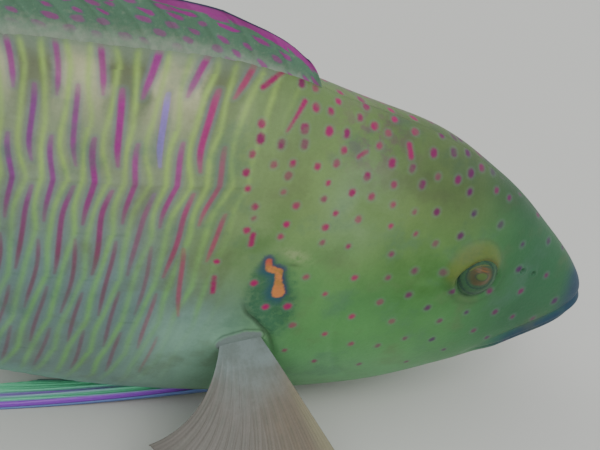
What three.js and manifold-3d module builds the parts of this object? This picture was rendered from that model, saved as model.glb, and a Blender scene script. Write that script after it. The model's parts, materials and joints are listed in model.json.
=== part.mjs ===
// A life-size male broomtail wrasse, resting on its breast on a level floor, nose a little down.
// Millimetres, +Z up. The origin is the middle of the flat under its breast, and +X points to the snout.
import * as THREE from "three";
import { mergeVertices } from "three/addons/utils/BufferGeometryUtils.js";
import Module from "manifold-3d";

const wasm = await Module();
wasm.setup();

// Driving sizes.
const LENGTH = 345; // snout to the root of the tail fin; every share below is a share of this
const HEAD_DOWN = THREE.MathUtils.degToRad(10); // how far the nose points below level
const BREAST = 0.325; // station of the middle of the breast flat
const BREAST_SINK = 0.9; // how much the breast is pressed flat
const TAIL_SWING = 8; // how far the root of the tail swings to the fish's left
const SWING_FROM = 0.5; // station where the swing starts
const GAP = 0.3; // clearance between neighbouring solids
const BODY_RINGS = 38;
const BODY_SIDES = 34;
const RING_CROWDING = 1.75; // above 1, rings crowd towards the snout

// Profiles of the trunk as [station, share], station 0 at the snout and 1 at the root of the tail.
const BACK = [
  [0, 0], [0.02, 0.036], [0.06, 0.072], [0.12, 0.117], [0.2, 0.157], [0.28, 0.176], [0.38, 0.196],
  [0.5, 0.195], [0.62, 0.183], [0.74, 0.152], [0.86, 0.112], [0.94, 0.095], [1, 0.093],
];
const BELLY = [
  [0, 0], [0.02, -0.031], [0.06, -0.056], [0.12, -0.091], [0.2, -0.126], [0.28, -0.15], [0.38, -0.167],
  [0.5, -0.17], [0.62, -0.16], [0.74, -0.13], [0.86, -0.097], [0.94, -0.087], [1, -0.088],
];
const HALF_WIDTH = [
  [0, 0], [0.02, 0.023], [0.06, 0.041], [0.12, 0.062], [0.2, 0.078], [0.28, 0.085], [0.38, 0.086],
  [0.5, 0.082], [0.62, 0.069], [0.74, 0.051], [0.86, 0.034], [0.94, 0.022], [1, 0.011],
];
const WIDEST_LEVEL = [[0, 0], [0.12, -0.005], [0.28, -0.01], [0.5, 0], [1, 0]];

// Head.
const EYE = { station: 0.136, level: 0.053, radius: 9, sink: 5.8 };
const ORBIT = { radius: 8.2, roll: 1.6, sink: 0.5 };
const NOSTRILS = [
  { station: 0.088, level: 0.052, radius: 1.2 },
  { station: 0.074, level: 0.047, radius: 0.9 },
];
const MOUTH = { frontLevel: -2.6, corner: 0.096, cornerLevel: -15.5 };
const LIP = { thick: 2, thin: 1, sink: 1, upperRise: 1.8, lowerDrop: 1.7, closing: 0.5, steps: 24, sides: 10 };
const JAW_END = 0.165; // station of the hinge side of the lower jaw, at the throat
// Outline of a gill cover, [station, level], from its top front corner round the rear flap.
const GILL_COVER = [
  [0.232, 0.082], [0.27, 0.09], [0.305, 0.084], [0.335, 0.065], [0.35, 0.036], [0.342, 0.006], [0.326, -0.008],
  [0.311, -0.021], [0.292, -0.055], [0.268, -0.096], [0.238, -0.118], [0.222, -0.09], [0.218, -0.02], [0.222, 0.04],
];
const GILL_COVER_MIDDLE = [0.285, -0.01];
const GILL_COVER_POINTS = 28;
const GILL_COVER_DEPTH = 4;
const GILL_COVER_RISE = 0.7;

// Places where the trunk is parted, as stations on the back and on the belly.
const NECK_CUT = [0.3, 0.245];
const WAIST_CUT = [0.56, 0.58];
const STEM_CUT = [0.83, 0.85];
const CUT_DEPTH = 0.36; // depth of trunk that a cut slants over, as a share
const CUT_REACH = 0.5; // how far a cut runs past the middle, as a share

// Fins. Lengths are shares of LENGTH by ray number, angles are degrees from straight back.
const MEMBRANE = 0.45; // half thickness between rays
const SINK = 5; // how deep a fin's foot starts inside the trunk, before it is trimmed to it
const DORSAL = {
  rays: 19, spines: 9, from: 0.319, to: 0.866,
  length: [[0, 0.038], [1, 0.056], [3, 0.076], [8, 0.09], [12, 0.12], [15, 0.172], [16.4, 0.2], [18, 0.105]],
  angle: [[0, 68], [4, 56], [9, 48], [14, 34], [18, 20]],
  droop: 12, ridge: 0.75, notch: 0.975, rows: 5,
};
const ANAL = {
  rays: 11, spines: 3, from: 0.6, to: 0.862,
  length: [[0, 0.045], [2, 0.082], [5, 0.118], [7.4, 0.168], [8.6, 0.185], [10, 0.1]],
  angle: [[0, 40], [4, 34], [10, 20]],
  droop: 10, ridge: 0.75, notch: 0.975, rows: 5,
};
const CAUDAL = {
  rays: 26, spread: 17, foot: 0.975, length: 0.235, cornerExtra: 0.018, fringe: 0.052, web: 0.012, ridge: 0.7, rows: 6,
};
// A paired fin sweeps from straight out towards the head, by degrees at its foot and at its tip.
const PECTORAL = {
  rays: 12, front: [0.322, -0.022], rear: [0.35, -0.042],
  length: [[0, 0.178], [2, 0.194], [5, 0.182], [9, 0.142], [11, 0.115]],
  footSweep: [70, 0], sweep: [64, -40], bend: 1.4, dip: [44, 46], curl: 0.12,
  ridge: 0.55, notch: 0.97, rows: 7, sink: 3,
};
const PELVIC = {
  rays: 6, front: [0.333, 14.6], rear: [0.37, 7],
  length: [[0, 0.19], [1, 0.225], [2.5, 0.2], [5, 0.1]],
  sweep: [2.8, -3], ridge: 0.5, notch: 0.95, rows: 7, sink: 4, arch: 4.5,
};
const FIN_LIFT = 0.5; // height of a resting fin's mid plane over the floor

// A smooth curve through [x, y] points.
function through(points) {
  const slope = points.slice(1).map(([x, y], i) => (y - points[i][1]) / (x - points[i][0]));
  const step = points.slice(1).map(([x], i) => x - points[i][0]);
  const last = points.length - 1;
  const tangent = points.map((_, i) => {
    if (i === 0) return slope[0];
    if (i === last) return slope[last - 1];
    return (slope[i - 1] * step[i] + slope[i] * step[i - 1]) / (step[i - 1] + step[i]);
  });
  return (at) => {
    const x = THREE.MathUtils.clamp(at, points[0][0], points[last][0]);
    let i = 0;
    while (i < last - 1 && x > points[i + 1][0]) i += 1;
    const t = (x - points[i][0]) / step[i];
    const rise = t * t * (3 - 2 * t);
    return (
      points[i][1] * (1 - rise) + points[i + 1][1] * rise +
      step[i] * t * (1 - t) * ((1 - t) * tangent[i] - t * tangent[i + 1])
    );
  };
}

// A profile read by the square root of its station, which rounds the snout.
function profile(points) {
  const curve = through(points.map(([station, share]) => [Math.sqrt(station), share]));
  return (station) => LENGTH * curve(Math.sqrt(station));
}

const back = profile(BACK);
const belly = profile(BELLY);
const halfWidth = profile(HALF_WIDTH);
const widestLevel = profile(WIDEST_LEVEL);

// The trunk's surface at a station. Angle 0 is the fish's left side and a quarter turn is its back.
function trunkAt(station, angle, grow = 0) {
  const side = Math.cos(angle);
  const rise = Math.sin(angle);
  const middle = widestLevel(station);
  const reach = rise > 0 ? back(station) + grow - middle : middle - belly(station) + grow;
  return new THREE.Vector3(
    -station * LENGTH + grow * (1 - 2 * station),
    (halfWidth(station) + grow) * Math.sign(side) * Math.abs(side) ** 0.95,
    middle + reach * rise,
  );
}

// The point of one flank at a station and a level, with the level as a share of LENGTH.
function flankAt(station, level, side) {
  const middle = widestLevel(station);
  const z = level * LENGTH;
  const reach = z > middle ? back(station) - middle : middle - belly(station);
  const angle = Math.asin(THREE.MathUtils.clamp((z - middle) / reach, -1, 1));
  const point = trunkAt(station, angle);
  point.y *= side;
  return point;
}

// Which way the flank faces there.
function flankNormal(station, level, side) {
  const step = 0.012;
  const along = flankAt(station + step, level, side).sub(flankAt(station - step, level, side));
  const up = flankAt(station, level + step, side).sub(flankAt(station, level - step, side));
  return along.cross(up).normalize().multiplyScalar(side);
}

// The resting pose. The floor is where the breast ends up, BREAST_SINK above its lowest point.
const cos = Math.cos(HEAD_DOWN);
const sin = Math.sin(HEAD_DOWN);
const levelOf = (x, z) => z * cos - x * sin;
const restingLevels = Array.from({ length: 200 }, (_, i) => {
  const station = 0.1 + 0.6 * (i / 199);
  return levelOf(-station * LENGTH, belly(station));
});
const FLOOR = Math.min(...restingLevels) + BREAST_SINK;
const ORIGIN_X = -BREAST * LENGTH * cos + belly(BREAST) * sin;

// Height of the floor in the fish's own frame.
const floorAt = (x) => (FLOOR + x * sin) / cos;

function pose(point) {
  const past = Math.max(0, -point.x / LENGTH - SWING_FROM) / (1 - SWING_FROM);
  return new THREE.Vector3(
    point.x * cos + point.z * sin - ORIGIN_X,
    point.y + TAIL_SWING * past * past,
    levelOf(point.x, point.z) - FLOOR,
  );
}

// A solid from points and triangles.
function solid(points, faces) {
  const geometry = new THREE.BufferGeometry().setFromPoints(points).setIndex(faces);
  return solidOf(geometry);
}

function solidOf(geometry) {
  for (const name of ["normal", "uv"]) geometry.deleteAttribute(name);
  const merged = mergeVertices(geometry, 1e-4);
  return new wasm.Manifold(
    new wasm.Mesh({
      numProp: 3,
      vertProperties: merged.attributes.position.array,
      triVerts: new Uint32Array(merged.index.array),
    }),
  );
}

// The largest closed body of a solid, once a cut has left scraps.
function largest(cut) {
  return cut.decompose().sort((a, b) => b.volume() - a.volume())[0];
}

// A closed tube through rings of points, with a point at either end.
function loft(rings, first, last) {
  const sides = rings[0].length;
  const points = [first, ...rings.flat(), last];
  const at = (ring, side) => 1 + ring * sides + (side % sides);
  const faces = [];
  for (let j = 0; j < sides; j += 1) {
    faces.push(0, at(0, j), at(0, j + 1));
    for (let i = 0; i < rings.length - 1; i += 1) {
      faces.push(at(i, j), at(i + 1, j), at(i + 1, j + 1));
      faces.push(at(i, j), at(i + 1, j + 1), at(i, j + 1));
    }
    faces.push(points.length - 1, at(rings.length - 1, j + 1), at(rings.length - 1, j));
  }
  return solid(points, faces);
}

// The whole trunk, or the same grown or shrunk all round.
function trunk(grow = 0) {
  const rings = [];
  for (let i = 1; i <= BODY_RINGS; i += 1) {
    const station = (i / BODY_RINGS) ** RING_CROWDING;
    rings.push(
      Array.from({ length: BODY_SIDES }, (_, j) => trunkAt(station, (2 * Math.PI * (j + 0.5)) / BODY_SIDES, grow)),
    );
  }
  const end = rings.at(-1)[0].x;
  return loft(rings, new THREE.Vector3(grow, 0, 0), new THREE.Vector3(end, 0, 0));
}

// A prism across the fish from an outline in its side view, [x, z].
function prism(outline, from = -100, to = 100) {
  const shape = new THREE.Shape(outline.map(([x, z]) => new THREE.Vector2(x, z)));
  const geometry = new THREE.ExtrudeGeometry(shape, { depth: to - from, bevelEnabled: false });
  geometry.rotateX(Math.PI / 2).translate(0, to, 0);
  return solidOf(geometry);
}

// The part of space between two slanted cuts. A cut is its stations on the back and on the belly.
function between(front, rear) {
  const far = CUT_REACH;
  const at = ([top, bottom], level, gap) => {
    const middle = (top + bottom) / 2;
    return [-(middle + ((top - bottom) * level) / CUT_DEPTH) * LENGTH + gap, level * LENGTH];
  };
  return prism([at(front, far, -GAP / 2), at(rear, far, GAP / 2), at(rear, -far, GAP / 2), at(front, -far, -GAP / 2)]);
}

// A ball, or a squashed one, at a place.
function ball(centre, radius, segments = 18, rings = 12) {
  return solidOf(new THREE.SphereGeometry(radius, segments, rings).translate(centre.x, centre.y, centre.z));
}

// A round tube along a curve, its radius set by how far along it is.
function tube(curve, radiusAt, steps, sides) {
  const rings = [];
  for (let i = 0; i <= steps; i += 1) {
    const t = i / steps;
    const centre = curve(t);
    const along = curve(Math.min(1, t + 0.01)).sub(curve(Math.max(0, t - 0.01))).normalize();
    const across = new THREE.Vector3(0, 0, 1).cross(along).normalize();
    const upward = along.clone().cross(across);
    rings.push(
      Array.from({ length: sides }, (_, j) => {
        const angle = (2 * Math.PI * j) / sides;
        return centre.clone()
          .addScaledVector(across, radiusAt(t) * Math.cos(angle))
          .addScaledVector(upward, -radiusAt(t) * Math.sin(angle));
      }),
    );
  }
  return loft(rings, curve(0), curve(1));
}

// The mouth lies where a slanting plane meets the snout. This is the plane's height over the snout's tip.
function mouthLevel(station) {
  return MOUTH.frontLevel + ((MOUTH.cornerLevel - MOUTH.frontLevel) * station) / MOUTH.corner;
}

// The station where a line at some rise over the mouth's plane crosses the middle of the snout.
function mouthFront(rise) {
  const step = 0.0002;
  let station = 0;
  const buried = (level) => Math.min(back(station) - level, level - belly(station));
  while (buried(mouthLevel(station) + rise) < 0) station += step;
  return station;
}

// That line round the snout. Turn runs from -1 at the right corner to 1 at the left one.
function mouthLine(turn, rise) {
  const front = mouthFront(rise);
  const station = front + (MOUTH.corner - front) * turn * turn;
  const fade = 1 - LIP.closing * Math.min(1, Math.abs(turn)) ** 3;
  return flankAt(station, (mouthLevel(station) + rise * fade) / LENGTH, Math.sign(turn));
}

function lip(rise, grow = 0) {
  const step = 0.01;
  const centre = (t) => {
    const turn = 2 * t - 1;
    const along = mouthLine(turn + step, rise).sub(mouthLine(turn - step, rise)).setZ(0).normalize();
    return mouthLine(turn, rise).add(new THREE.Vector3(-along.y, along.x, 0).multiplyScalar(LIP.sink));
  };
  const radius = (t) => LIP.thin + (LIP.thick - LIP.thin) * Math.sin(Math.PI * t) ** 0.7 + grow;
  return tube(centre, radius, LIP.steps, LIP.sides);
}

// The lower jaw's outline in side view, moved by the gap where it is used to cut the head.
function jawPrism(gap) {
  const corner = -MOUTH.corner * LENGTH;
  const ahead = 12;
  const below = 70;
  return prism([
    [ahead, mouthLevel(-ahead / LENGTH) + gap],
    [corner - gap, MOUTH.cornerLevel + gap],
    [-JAW_END * LENGTH - gap, belly(JAW_END) - 4],
    [ahead, -below],
  ]);
}

// One gill cover's outline, grown about its middle.
function gillOutline(grow) {
  const middle = [-GILL_COVER_MIDDLE[0] * LENGTH, GILL_COVER_MIDDLE[1] * LENGTH];
  const corners = GILL_COVER.map(([station, level]) => new THREE.Vector3(-station * LENGTH, level * LENGTH, 0));
  const rim = new THREE.CatmullRomCurve3(corners, true, "centripetal").getPoints(GILL_COVER_POINTS);
  return rim.slice(0, -1).map(({ x, y }) => {
    const from = [x - middle[0], y - middle[1]];
    const size = Math.hypot(...from);
    return [middle[0] + from[0] * (1 + grow / size), middle[1] + from[1] * (1 + grow / size)];
  });
}

function eyeCentre(side) {
  const spot = flankAt(EYE.station, EYE.level, side);
  return spot.addScaledVector(flankNormal(EYE.station, EYE.level, side), -EYE.sink);
}

// The raised rim round an eye.
function orbit(side) {
  const normal = flankNormal(EYE.station, EYE.level, side);
  const rim = new THREE.TorusGeometry(ORBIT.radius, ORBIT.roll, 8, 20);
  rim.applyQuaternion(new THREE.Quaternion().setFromUnitVectors(new THREE.Vector3(0, 0, 1), normal));
  const centre = flankAt(EYE.station, EYE.level, side).addScaledVector(normal, -ORBIT.sink);
  return solidOf(rim.translate(centre.x, centre.y, centre.z));
}

// A fin as a plate on a grid. Ray and membrane columns take turns, and the rays stand proud on both faces.
// Middle gives a point of the mid plane from the ray number and how far out it is, and half its half thickness.
function finPlate(rays, rows, middle, half) {
  const columns = 2 * rays - 1;
  const mid = Array.from({ length: columns }, (_, i) =>
    Array.from({ length: rows + 1 }, (_, j) => middle(i / 2, j / rows)),
  );
  const points = [];
  for (const face of [1, -1]) {
    for (let i = 0; i < columns; i += 1) {
      for (let j = 0; j <= rows; j += 1) {
        const across = mid[Math.min(i + 1, columns - 1)][j].clone().sub(mid[Math.max(i - 1, 0)][j]);
        const out = mid[i][Math.min(j + 1, rows)].clone().sub(mid[i][Math.max(j - 1, 0)]);
        const normal = across.cross(out).normalize();
        points.push(mid[i][j].clone().addScaledVector(normal, face * half(i / 2, j / rows)));
      }
    }
  }
  const at = (face, i, j) => face * columns * (rows + 1) + i * (rows + 1) + j;
  const faces = [];
  const wall = (a, b, c, d) => faces.push(a, b, c, a, c, d);
  for (let i = 0; i < columns - 1; i += 1) {
    for (let j = 0; j < rows; j += 1) {
      wall(at(0, i, j), at(0, i + 1, j), at(0, i + 1, j + 1), at(0, i, j + 1));
      faces.push(at(1, i, j), at(1, i + 1, j + 1), at(1, i + 1, j));
      faces.push(at(1, i, j), at(1, i, j + 1), at(1, i + 1, j + 1));
    }
    wall(at(0, i, 0), at(1, i, 0), at(1, i + 1, 0), at(0, i + 1, 0));
    wall(at(0, i, rows), at(0, i + 1, rows), at(1, i + 1, rows), at(1, i, rows));
  }
  for (let j = 0; j < rows; j += 1) {
    wall(at(0, 0, j), at(0, 0, j + 1), at(1, 0, j + 1), at(1, 0, j));
    wall(at(0, columns - 1, j), at(1, columns - 1, j), at(1, columns - 1, j + 1), at(0, columns - 1, j + 1));
  }
  const made = solid(points, faces);
  return made.volume() < 0 ? solid(points, faces.toReversed()) : made;
}

// Half thickness of a fin: its rays stand up from the membrane, and both thin out towards the tip.
function finHalf(ray, out, ridge, tip = 0.35) {
  const onRay = Number.isInteger(ray);
  return (MEMBRANE + (onRay ? ridge : 0)) * (1 - (1 - tip) * out) + 0.5 * (1 - out) ** 4;
}

// A fin of the mid line. Up is 1 on the back and -1 under the belly.
function midlineFin(fin, up, firstRay, lastRay) {
  const length = through(fin.length);
  const angle = through(fin.angle);
  const clear = (GAP * (fin.rays - 1)) / ((fin.to - fin.from) * LENGTH);
  const middle = (local, out) => {
    const ray = firstRay + (local === 0 && firstRay > 0 ? clear : local);
    const station = THREE.MathUtils.lerp(fin.from, fin.to, ray / (fin.rays - 1));
    const rim = Number.isInteger(local) ? 1 : fin.notch;
    const reach = SINK + length(ray) * LENGTH * rim;
    const lean = THREE.MathUtils.degToRad(angle(ray) - fin.droop * out * out);
    const along = reach * out;
    const edge = up > 0 ? back(station) : belly(station);
    const point = new THREE.Vector3(-station * LENGTH, 0, edge);
    const root = THREE.MathUtils.degToRad(angle(ray));
    point.x += SINK * Math.cos(root) - along * Math.cos(lean);
    point.z += up * (along * Math.sin(lean) - SINK * Math.sin(root));
    return point;
  };
  return finPlate(lastRay - firstRay + 1, fin.rows, middle, (ray, out) => finHalf(ray, out, fin.ridge));
}

// The tail fin, whose rays run out past the web as a ragged fringe.
function tailFin() {
  const middle = (ray, out) => {
    const turn = (2 * ray) / (CAUDAL.rays - 1) - 1;
    const edge = turn > 0 ? back(1) : -belly(1);
    const foot = new THREE.Vector3(-(CAUDAL.foot + 0.01 * turn * turn) * LENGTH, 0, turn * (edge - 1.2));
    const onRay = Number.isInteger(ray);
    const ragged = 0.62 + 0.38 * Math.sin(ray * 2.4) * Math.cos(ray * 1.1);
    const extra = onRay ? CAUDAL.fringe * ragged : -CAUDAL.web;
    const reach = (1 - CAUDAL.foot + CAUDAL.length + CAUDAL.cornerExtra * turn * turn + extra) * LENGTH;
    const lean = THREE.MathUtils.degToRad(CAUDAL.spread * turn * (0.75 + 0.25 * out));
    return new THREE.Vector3(foot.x - reach * out * Math.cos(lean), 0, foot.z + reach * out * Math.sin(lean));
  };
  return finPlate(CAUDAL.rays, CAUDAL.rows, middle, (ray, out) => finHalf(ray, out, CAUDAL.ridge, 0.3) + 0.6 * (1 - out) ** 3);
}

// A pectoral fin, held out from the flank and down to the floor. Its rear rays bend back as they run out.
function pectoralFin(side) {
  const length = through(PECTORAL.length);
  const front = flankAt(...PECTORAL.front, side);
  const rear = flankAt(...PECTORAL.rear, side);
  const middle = (ray, out) => {
    const share = ray / (PECTORAL.rays - 1);
    const dip = THREE.MathUtils.degToRad(THREE.MathUtils.lerp(...PECTORAL.dip, share));
    const point = front.clone().lerp(rear, share);
    const foot = THREE.MathUtils.lerp(...PECTORAL.footSweep, share);
    const tip = THREE.MathUtils.lerp(...PECTORAL.sweep, share);
    const sweep = THREE.MathUtils.degToRad(THREE.MathUtils.lerp(foot, tip, Math.max(0, out) ** PECTORAL.bend));
    const rim = Number.isInteger(ray) ? 1 : PECTORAL.notch;
    const reach = (length(ray) * LENGTH * rim + PECTORAL.sink) * out - PECTORAL.sink;
    point.x += reach * Math.cos(dip) * Math.sin(sweep);
    point.y += side * reach * Math.cos(dip) * Math.cos(sweep);
    point.z -= reach * Math.sin(dip) * (1 - PECTORAL.curl * out);
    return restOnFloor(point);
  };
  return finPlate(PECTORAL.rays, PECTORAL.rows, middle, (ray, out) => finHalf(ray, out, PECTORAL.ridge, 0.5));
}

// A pelvic fin, laid back and a little out along the floor.
function pelvicFin(side) {
  const length = through(PELVIC.length);
  const middle = (ray, out) => {
    const share = ray / (PELVIC.rays - 1);
    const station = THREE.MathUtils.lerp(PELVIC.front[0], PELVIC.rear[0], share);
    const from = THREE.MathUtils.lerp(PELVIC.front[1], PELVIC.rear[1], share);
    const sweep = THREE.MathUtils.degToRad(THREE.MathUtils.lerp(...PELVIC.sweep, share));
    const rim = Number.isInteger(ray) ? 1 : PELVIC.notch;
    const reach = (length(ray) * LENGTH * rim + PELVIC.sink) * out - PELVIC.sink;
    const point = new THREE.Vector3(-station * LENGTH - reach * Math.cos(sweep), side * (from + reach * Math.sin(sweep)), 0);
    point.z = floorAt(point.x) + FIN_LIFT + PELVIC.arch * (1 - out) ** 2;
    return point;
  };
  return finPlate(PELVIC.rays, PELVIC.rows, middle, (ray, out) => finHalf(ray, out, PELVIC.ridge, 0.6));
}

// Lifts a point of a fin's mid plane so that the fin lies on the floor and not in it.
function restOnFloor(point) {
  const least = floorAt(point.x) + FIN_LIFT;
  const over = point.z - least;
  point.z = least + (over + Math.hypot(over, 0.8)) / 2;
  return point;
}

// The solids, each in the fish's own frame.
const whole = trunk();
const grown = trunk(GAP);
const inner = trunk(-GILL_COVER_DEPTH);
const innerGap = trunk(-GILL_COVER_DEPTH - GAP);
const RIGHT = -1;
const LEFT = 1;

function gillPocket(side) {
  const from = side > 0 ? 0 : -100;
  return prism(gillOutline(GAP), from, from + 100).subtract(innerGap);
}

function gillCover(side) {
  const from = side > 0 ? 0 : -100;
  return largest(prism(gillOutline(0), from, from + 100).intersect(trunk(GILL_COVER_RISE)).subtract(inner));
}

const upperLip = lip(LIP.upperRise);
const upperLipGap = lip(LIP.upperRise, GAP);
const lowerLip = lip(-LIP.lowerDrop);
const lowerLipGap = lip(-LIP.lowerDrop, GAP);
const pockets = gillPocket(RIGHT).add(gillPocket(LEFT));

function makeHead() {
  let head = whole.intersect(between([-1, -1], NECK_CUT)).subtract(pockets);
  head = head.add(orbit(RIGHT)).add(orbit(LEFT));
  head = head.subtract(jawPrism(GAP)).subtract(upperLipGap).subtract(lowerLipGap);
  for (const side of [RIGHT, LEFT]) {
    head = head.subtract(ball(eyeCentre(side), EYE.radius + GAP));
    for (const { station, level, radius } of NOSTRILS) {
      head = head.subtract(ball(flankAt(station, level, side), radius, 8, 6));
    }
  }
  return largest(head);
}

const lowerJaw = largest(whole.intersect(jawPrism(0)).add(lowerLip).subtract(upperLipGap));
const clearOfTrunk = grown.add(trunk(GILL_COVER_RISE + GAP).intersect(prism(gillOutline(GAP))));

// Name, solid, colour, roughness.
const PIECES = [
  ["head", makeHead(), 0x5d8f45, 0.5],
  ["upper_lip", largest(upperLip), 0x4d7377, 0.45],
  ["lower_jaw", lowerJaw, 0x557f6a, 0.45],
  ["gill_cover_right", gillCover(RIGHT), 0x4f8a4a, 0.5],
  ["gill_cover_left", gillCover(LEFT), 0x4f8a4a, 0.5],
  ["eye_right", ball(eyeCentre(RIGHT), EYE.radius), 0x8a5a2c, 0.15],
  ["eye_left", ball(eyeCentre(LEFT), EYE.radius), 0x8a5a2c, 0.15],
  ["torso_front", largest(whole.intersect(between(NECK_CUT, WAIST_CUT)).subtract(pockets)), 0x87995e, 0.5],
  ["torso_rear", largest(whole.intersect(between(WAIST_CUT, STEM_CUT))), 0x6e7a66, 0.5],
  ["tail_stem", largest(whole.intersect(between(STEM_CUT, [2, 2]))), 0x4b4f5e, 0.5],
  ["dorsal_fin_front", midlineFin(DORSAL, 1, 0, DORSAL.spines), 0x3f7d55, 0.45],
  ["dorsal_fin_rear", midlineFin(DORSAL, 1, DORSAL.spines, DORSAL.rays - 1), 0x345a63, 0.45],
  ["anal_fin", midlineFin(ANAL, -1, 0, ANAL.rays - 1), 0x345a63, 0.45],
  ["tail_fin", tailFin(), 0x2c3350, 0.45],
  ["pectoral_fin_right", pectoralFin(RIGHT), 0x8b8a84, 0.4],
  ["pectoral_fin_left", pectoralFin(LEFT), 0x8b8a84, 0.4],
  ["pelvic_fin_right", pelvicFin(RIGHT), 0x4a8a63, 0.45],
  ["pelvic_fin_left", pelvicFin(LEFT), 0x4a8a63, 0.45],
];

// Fins are trimmed to the trunk.
const trimmed = (name, made) => (name.includes("_fin") ? largest(made.subtract(clearOfTrunk)) : made);

const floor = solidOf(new THREE.BoxGeometry(900, 400, 60).translate(0, 0, -30));

function meshOf(name, made, color, roughness) {
  const { numProp, vertProperties, triVerts, numVert } = trimmed(name, made).getMesh();
  const points = Array.from({ length: numVert }, (_, i) =>
    pose(new THREE.Vector3().fromArray(vertProperties, i * numProp)),
  );
  const resting = largest(solid(points, Array.from(triVerts)).subtract(floor)).getMesh();
  const geometry = new THREE.BufferGeometry();
  geometry.setAttribute("position", new THREE.BufferAttribute(resting.vertProperties, 3));
  geometry.setIndex(new THREE.BufferAttribute(resting.triVerts, 1));
  geometry.computeVertexNormals();
  const mesh = new THREE.Mesh(geometry, new THREE.MeshStandardMaterial({ color, roughness, metalness: 0 }));
  mesh.name = name;
  return mesh;
}

const wrasse = new THREE.Group();
for (const piece of PIECES) wrasse.add(meshOf(...piece));

export default wrasse;
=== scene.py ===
"""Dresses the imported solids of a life-size male broomtail wrasse that rests on its breast.

Shapes are worked out in millimetres in the fish's own frame, with the snout's tip at the origin and
+X ahead, and are then posed into the model's metres. A station is a share of the way from the snout's
tip to the root of the tail fin.
"""
import json
import math

import bpy
import numpy as np
from bpy.props import FloatProperty, FloatVectorProperty, IntProperty, PointerProperty
from mathutils import Matrix, Vector
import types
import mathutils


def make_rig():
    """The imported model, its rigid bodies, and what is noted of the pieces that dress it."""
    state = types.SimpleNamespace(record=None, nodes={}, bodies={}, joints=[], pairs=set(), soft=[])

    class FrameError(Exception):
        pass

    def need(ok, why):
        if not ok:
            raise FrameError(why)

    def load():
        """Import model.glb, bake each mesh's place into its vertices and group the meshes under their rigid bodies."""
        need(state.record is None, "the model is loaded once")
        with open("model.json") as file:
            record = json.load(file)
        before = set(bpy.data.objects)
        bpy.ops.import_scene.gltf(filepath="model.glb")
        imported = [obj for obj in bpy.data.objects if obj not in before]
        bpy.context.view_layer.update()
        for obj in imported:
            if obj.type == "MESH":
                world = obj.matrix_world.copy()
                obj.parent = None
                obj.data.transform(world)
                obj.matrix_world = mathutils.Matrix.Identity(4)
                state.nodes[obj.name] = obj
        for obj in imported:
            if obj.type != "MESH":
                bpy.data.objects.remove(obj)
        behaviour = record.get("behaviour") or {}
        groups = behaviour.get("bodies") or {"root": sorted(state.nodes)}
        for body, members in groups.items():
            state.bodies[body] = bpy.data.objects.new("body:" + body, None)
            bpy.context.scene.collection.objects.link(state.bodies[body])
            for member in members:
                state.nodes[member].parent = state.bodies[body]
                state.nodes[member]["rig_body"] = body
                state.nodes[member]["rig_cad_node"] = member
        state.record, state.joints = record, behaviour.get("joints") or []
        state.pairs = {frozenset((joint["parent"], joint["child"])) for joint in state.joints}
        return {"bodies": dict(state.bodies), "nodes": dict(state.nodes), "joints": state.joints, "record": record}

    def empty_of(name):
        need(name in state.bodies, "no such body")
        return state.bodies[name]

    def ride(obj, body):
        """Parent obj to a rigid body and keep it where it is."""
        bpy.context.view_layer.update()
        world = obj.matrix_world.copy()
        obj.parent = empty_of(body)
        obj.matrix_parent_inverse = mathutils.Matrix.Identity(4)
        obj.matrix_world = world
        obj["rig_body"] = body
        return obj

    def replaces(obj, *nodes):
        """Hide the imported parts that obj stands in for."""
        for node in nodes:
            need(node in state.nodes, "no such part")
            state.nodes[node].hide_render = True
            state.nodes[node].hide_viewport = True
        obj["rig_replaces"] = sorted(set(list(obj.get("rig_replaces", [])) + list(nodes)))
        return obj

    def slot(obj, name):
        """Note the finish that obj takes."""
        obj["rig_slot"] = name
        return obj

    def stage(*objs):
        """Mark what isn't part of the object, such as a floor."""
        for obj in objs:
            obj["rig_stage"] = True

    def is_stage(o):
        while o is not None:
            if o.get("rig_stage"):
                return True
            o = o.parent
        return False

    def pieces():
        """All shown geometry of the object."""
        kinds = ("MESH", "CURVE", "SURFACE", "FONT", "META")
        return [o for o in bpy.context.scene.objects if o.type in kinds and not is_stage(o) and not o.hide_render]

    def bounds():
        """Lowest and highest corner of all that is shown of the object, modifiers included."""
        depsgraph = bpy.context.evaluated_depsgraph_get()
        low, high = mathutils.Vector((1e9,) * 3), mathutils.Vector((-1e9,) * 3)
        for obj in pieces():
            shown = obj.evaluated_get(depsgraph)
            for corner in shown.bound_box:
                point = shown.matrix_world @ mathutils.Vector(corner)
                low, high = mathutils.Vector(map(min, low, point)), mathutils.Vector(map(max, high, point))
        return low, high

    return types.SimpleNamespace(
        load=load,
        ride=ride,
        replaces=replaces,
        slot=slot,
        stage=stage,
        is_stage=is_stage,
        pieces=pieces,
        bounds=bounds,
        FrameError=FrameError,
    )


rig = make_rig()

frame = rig.load()
CAD_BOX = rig.bounds()

bl_info = {
    "name": "Broomtail wrasse",
    "version": (1, 0, 0),
    "blender": (4, 5, 0),
    "location": "3D View > Sidebar > Wrasse",
    "description": "Dresses the packed solids of a resting broomtail wrasse",
    "category": "Object",
}

MM = 0.001
BODY = "root"
FLESH = (
    "head", "upper_lip", "lower_jaw", "gill_cover_right", "gill_cover_left",
    "torso_front", "torso_rear", "tail_stem",
)
SIDES = (("right", -1), ("left", 1))

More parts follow.
